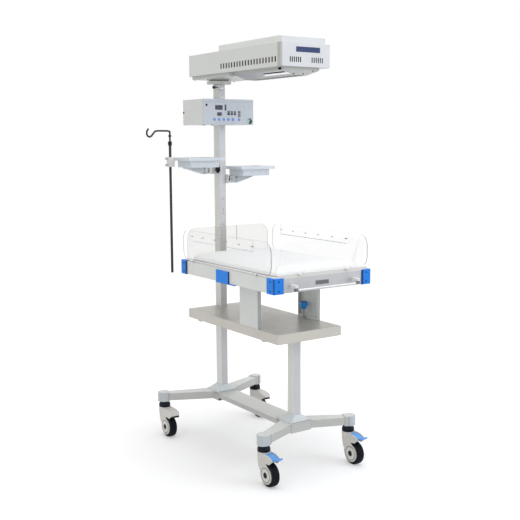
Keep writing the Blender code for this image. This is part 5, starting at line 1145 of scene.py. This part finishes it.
for name, grow, back, edge, look in (
    ("hood_plate", 0.0, 0.0012, 0.0006, "navy_plate"),
    ("hood_plate_rim", 0.0016, 0.0006, 0.0003, "white_plastic"),
):
    corner = (hood_middle.x - 0.0494 - grow, hood_low.y - back, PLATE_LOW - grow)
    hood_block(name, corner, (hood_middle.x + 0.0708 + grow, hood_low.y + 0.0005, PLATE_HIGH + grow), edge, look)
rail_front = frame_low.y + 0.0105
corner = (frame_middle.x - 0.0405, rail_front - 0.0006, LABEL_LOW)
label = add_block("rail_label", corner, (frame_middle.x + 0.0265, rail_front + 0.0003, LABEL_HIGH), 0.0002)
settle_as(label, "bed_frame", "label_grey")
guard_front = hood_low.y + 0.029
places = [(hood_middle.x + x, guard_front, z) for x, z in ((-0.0393, 1.6520), (0.0089, 1.6525), (0.0573, 1.6654))]
add_screws("guard_screws", places, (0, -1, 0), "hood")
down = [(-0.106, 0.694), (-0.095, 0.398), (0.070, 0.649), (0.106, 0.694), (0.095, 0.398)]
places = [(hood_middle.x + x, hood_low.y + y, PAN_BOTTOM) for x, y in down]
add_screws("pan_screws", places, (0, 0, -1), "hood")
# Dark blocks behind the vents: painted shade.
VENT_SHADE_BLOCKS = {
    "left": (hood_low.x + 0.0026, hood_low.y + 0.02, hood_low.x + 0.0046, hood_low.y + 0.46),
    "right": (hood_high.x - 0.0046, hood_low.y + 0.02, hood_high.x - 0.0026, hood_low.y + 0.46),
    "front": (hood_low.x + 0.03, hood_low.y + 0.0026, hood_high.x - 0.03, hood_low.y + 0.0046),
}
for side, (x0, y0, x1, y1) in VENT_SHADE_BLOCKS.items():
    hood_block("vent_shade_block_" + side, (x0, y0, VENT_SHADE_LOW), (x1, y1, VENT_SHADE_HIGH), 0.0004, "vent_black")


def in_vent(place, normal):
    """True for the walls of the vents in the hood's left, right and front."""
    if not VENT_LOW < place.z < VENT_HIGH:
        return False
    at_side = place.x < hood_low.x + 0.002 or place.x > hood_high.x - 0.002
    return (at_side and abs(normal.x) < 0.5) or (place.y < hood_low.y + 0.002 and abs(normal.y) < 0.5)


# The vents' walls painted black: painted shade.
repaint(pieces["hood_shell"], "vent_black", in_vent)
vent_first, vent_last = hood_low.y + 0.035, hood_low.y + 0.440
# Dark bars over each vent: painted shade.
for side, x in (("left", hood_low.x), ("right", hood_high.x)):
    shade_bars = []
    for i in range(VENTS):
        y = vent_first + (vent_last - vent_first) * i / (VENTS - 1)
        corner = (x - 0.0003, y - VENT_REACH, VENT_LOW + 0.0012)
        shade_bars.append(add_block(f"slat_{side}_{i}", corner, (x + 0.0003, y + VENT_REACH, VENT_HIGH - 0.0012), 0.0001))
    settle(joined("vent_painted_shade_" + side, shade_bars), "hood", "cream_paint", "vent_black")
# A darker band over the hood's front corner: painted shade, where the rounded corner turns from the light.
SHADE_BAND_PLAN = (
    (-0.0006, 0.0200), (-0.0006, 0.0050), (0.0016, 0.0010), (0.0050, -0.0006), (0.0090, -0.0006), (0.0090, 0.0004),
    (0.0004, 0.0004), (0.0004, 0.0200),
)
outline = [(hood_low.x + x, hood_low.y + y, hood_low.z + 0.0008) for x, y in SHADE_BAND_PLAN]
shade_band = add_plate("hood_corner_trim", outline, (0, 0, hood_high.z - hood_low.z - 0.0016), 0.0002, 1)
settle(shade_band, "hood", "cream_paint", "cream_shade")
corner, opposite = (hood_low.x + 0.0070, hood_low.y + 0.012, 1.6640), (hood_low.x + 0.0130, hood_low.y + 0.026, 1.6735)
hood_block("pan_clip", corner, opposite, 0.0008, "vent_black")
print("hood trim and vents")

# %% [markdown]
# ### The guard's skins
#
# Seen from the side, the guard under the heater is a sloped sheet with one long opening in its front half. A
# black strip over the opening is painted shade, for the dark inside. Below it a polished strip mirrors the white
# room, and its pale colour adds a painted highlight. A darker band at the foot of the slope is painted shade.
# Each strip is drawn as a section on the slope and pushed along the hood.

# %% Skins on the guard's slopes
SLOPE_TOP, SLOPE_FOOT = Vector((0.090, 0, 1.667)), Vector((0.028, 0, 1.647))
# Black over the opening and a darker band at the foot are painted shade; the pale strip is partly a painted highlight.
SKINS = {
    "skin": (0.03, 0.97, 0.0320, 0.3870, 0.0005, "guard_grey"),
    "opening": (0.26, 0.41, 0.0500, 0.1990, 0.0007, "vent_black"),
    "mirror": (0.45, 0.66, 0.0380, 0.2100, 0.0008, "polished_highlight"),
    "fold": (0.86, 0.96, 0.0340, 0.3800, 0.0009, "cream_shade"),
}
for name, (top, foot, near, far, rise, look) in SKINS.items():
    for side, sign in SIDES.items():
        corners = []
        for share, lift in ((top, 0.0003), (foot, 0.0003), (foot, rise), (top, rise)):
            spot = SLOPE_TOP.lerp(SLOPE_FOOT, share)
            corners.append((hood_middle.x + sign * (spot.x + lift * 0.31), hood_low.y + near, spot.z - lift * 0.95))
        strip = add_plate(f"guard_{name}_{side}", corners, (0, far - near, 0))
        settle_as(strip, "heater_pan", look)
print(len(SKINS), "skins a side")

# %% Heater ends
tube_low, tube_high, tube_middle = box_of("heater_tube")
tube_radius = (tube_high.z - tube_low.z) / 2
for name, y in (("front", tube_low.y + 0.008), ("rear", tube_high.y - 0.008)):
    place = (tube_middle.x, y, tube_middle.z)
    end = add_round("heater_end_" + name, place, tube_radius + 0.0012, 0.014, "Y", 28, 0.0008)
    settle_as(end, "heater_tube", "steel")
print("hood parts")

# %% [markdown]
# ## Clear walls
#
# Acrylic is polished on its faces and sawn on its edges, and the edges gather light from the whole sheet, so
# they read as thin grey lines. The strip along the top carries small holes for tubes; each gets a grommet.
# The faces keep the clear finish, and every face along an edge gets the darker one. The side walls' front
# ends are painted darker still: painted shade.

# %% Wall edges and grommets
WALLS = {
    "panel_left": ("x", "clear_acrylic", "acrylic_edge"),
    "panel_right": ("x", "acrylic_faint", "acrylic_edge"),
    "panel_front": ("y", "clear_acrylic", "acrylic_pale"),
    "panel_rear": ("y", "acrylic_cream", "acrylic_edge"),
}
for node, (across, face_look, edge_look) in WALLS.items():
    wall = dressed(node, 0.0003, 1, face_look)
    repaint(wall, edge_look, lambda middle, normal: abs(getattr(normal, across)) < 0.75)
    if across == "x":
        front_edge = box_of(node)[0].y
        # The side wall's front end painted dark: painted shade.
        repaint(wall, "acrylic_dark", lambda middle, normal: normal.y < -0.6 and middle.y < front_edge + 0.03)
GROMMETS = (0.160, 0.066, -0.029, -0.122, -0.221, -0.313)
GROMMET_DROP = 0.028
design_y = box_of("rear_column")[2].y - 0.312
for side, sign in SIDES.items():
    node = "panel_" + side
    low, high, middle = box_of(node)
    inner = high.x if sign < 0 else low.x
    rings = []
    for i, y in enumerate(GROMMETS):
        reach = 0.0027 if i < 5 else 0.0030
        place = (inner, design_y + y, high.z - GROMMET_DROP)
        rings.append(add_round(f"grommet_{side}_{i}", place, reach, 0.0026, "X", 16, 0.0004))
    corner = (inner - 0.0012, design_y - 0.325, high.z - 0.0297)
    opposite = (inner + 0.0012, design_y - 0.313, high.z - 0.0265)
    rings.append(add_block(f"grommet_slot_{side}", corner, opposite, 0.0004))
    settle_as(joined("grommets_" + side, rings), node, "grommet_grey")
    corner = (inner - 0.0007, design_y - 0.320, high.z - 0.0490)
    opposite = (inner + 0.0007, design_y + 0.165, high.z - 0.0478)
    strip_line = add_block(f"strip_line_{side}", corner, opposite, 0.0002)
    settle_as(strip_line, node, "strip_blue" if sign < 0 else "grommet_grey")
low, high, middle = box_of("panel_rear")
joint_x = box_of("rear_column")[2].x + 0.042
corner = (joint_x - 0.0008, low.y - 0.0003, high.z - 0.070)
opposite = (joint_x + 0.0008, low.y + 0.001, high.z - 0.001)
settle_as(add_block("rear_wall_joint", corner, opposite, 0.0002), "panel_rear", "grommet_grey")
print("walls with", len(GROMMETS), "grommets a side")

# %% [markdown]
# ## The mattress
#
# A foam pad in a coated cover has no flat face except the one it lies on: its top is crowned, its sides bulge
# and its corners pull in. A cloth simulation finds that form. The CAD pad's copy is made a little smaller,
# remeshed to an even grid, and inflated from inside while its underside is pinned. No point may move further
# than a few millimetres, so the pad stays inside the room that the CAD gives it.

# %% Fill the mattress
PAD_CELL, QUICK_CELL = 0.006, 0.012
PAD_MOVE = 0.0060
PAD_IN, PAD_LOW = 0.0035, 0.0045
UNDERSIDE = 0.003
ROOM = 0.0004
CLOTH = {
    "vertex_group_mass": "underside",
    "use_pressure": True,
    "uniform_pressure_force": 4.0,
    "quality": 6,
    "mass": 0.3,
    "tension_stiffness": 12,
    "compression_stiffness": 12,
    "shear_stiffness": 6,
    "bending_stiffness": 0.6,
}
low, high, middle = box_of("mattress")
pad = bpy.data.objects.new("mattress_pad", frame["nodes"]["mattress"].data.copy())
bpy.context.scene.collection.objects.link(pad)
edit_all(pad)
bpy.ops.mesh.customdata_custom_splitnormals_clear()
bpy.ops.mesh.remove_doubles(threshold=0.00001)
leave_edit()
size = high - low
margin = Vector((PAD_IN, PAD_IN, 0))
apply_modifier(pad, "REMESH", mode="VOXEL", voxel_size=PAD_CELL)
for vertex in pad.data.vertices:
    place = vertex.co
    for axis in (0, 1):
        place[axis] = middle[axis] + (place[axis] - middle[axis]) * (1 - 2 * margin[axis] / size[axis])
    place.z = low.z + (place.z - low.z) * (1 - PAD_LOW / size.z)
rest = [vertex.co.copy() for vertex in pad.data.vertices]
pinned = pad.vertex_groups.new(name="underside")
pinned.add([i for i, place in enumerate(rest) if place.z < low.z + UNDERSIDE], 1.0, "REPLACE")
choose(pad)
cover = pad.modifiers.new("cover", "CLOTH")
for name, value in CLOTH.items():
    setattr(cover.settings, name, value)
cover.settings.effector_weights.gravity = 0
cover.point_cache.frame_start, cover.point_cache.frame_end = 1, 20
for step in range(1, 21):
    bpy.context.scene.frame_set(step)
bpy.ops.object.modifier_apply(modifier="cover")
bpy.context.scene.frame_set(1)
furthest = 0.0
for vertex, start in zip(pad.data.vertices, rest):
    move = vertex.co - start
    furthest = max(furthest, move.length)
    if move.length > PAD_MOVE:
        move = move.normalized() * PAD_MOVE
    if start.z < low.z + UNDERSIDE:
        move = Vector((0, 0, 0))
    place = start + move
    vertex.co = [min(max(place[axis], low[axis] + ROOM), high[axis] - ROOM) for axis in range(3)]
apply_modifier(pad, "SMOOTH", iterations=2, factor=0.5)
apply_modifier(pad, "SUBSURF", levels=1, render_levels=1)
choose(pad)
bpy.ops.object.shade_smooth()
pad.data.materials.clear()
pad.data.materials.append(looks["mattress_cover"])
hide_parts("mattress")
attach(pad, body_of["mattress"])
print("the cover moved by up to", round(furthest * 1000, 1), "mm;", len(pad.data.polygons), "faces")

# %% [markdown]
# ## What keeps its CAD shape
#
# Shafts, rods, tubes and wires are round and true in the CAD already. They only need their finish: the node's
# own slot takes the material.

# %% CAD parts that keep their shape
KEPT_LOOKS = {
    "heater_tube": "quartz",
    "tilt_wire": "wire_cream",
    "tilt_guide_rod": "rod_grey",
    "iv_tube": "pole_steel",
    "iv_rod": "pole_steel",
}
kept = [node for node in frame["nodes"] if not frame["nodes"][node].hide_render]
for node in kept:
    mesh = frame["nodes"][node].data
    mesh.materials.clear()
    mesh.materials.append(looks[KEPT_LOOKS.get(node, slot_of[node])])
print("kept as they are:", ", ".join(kept))
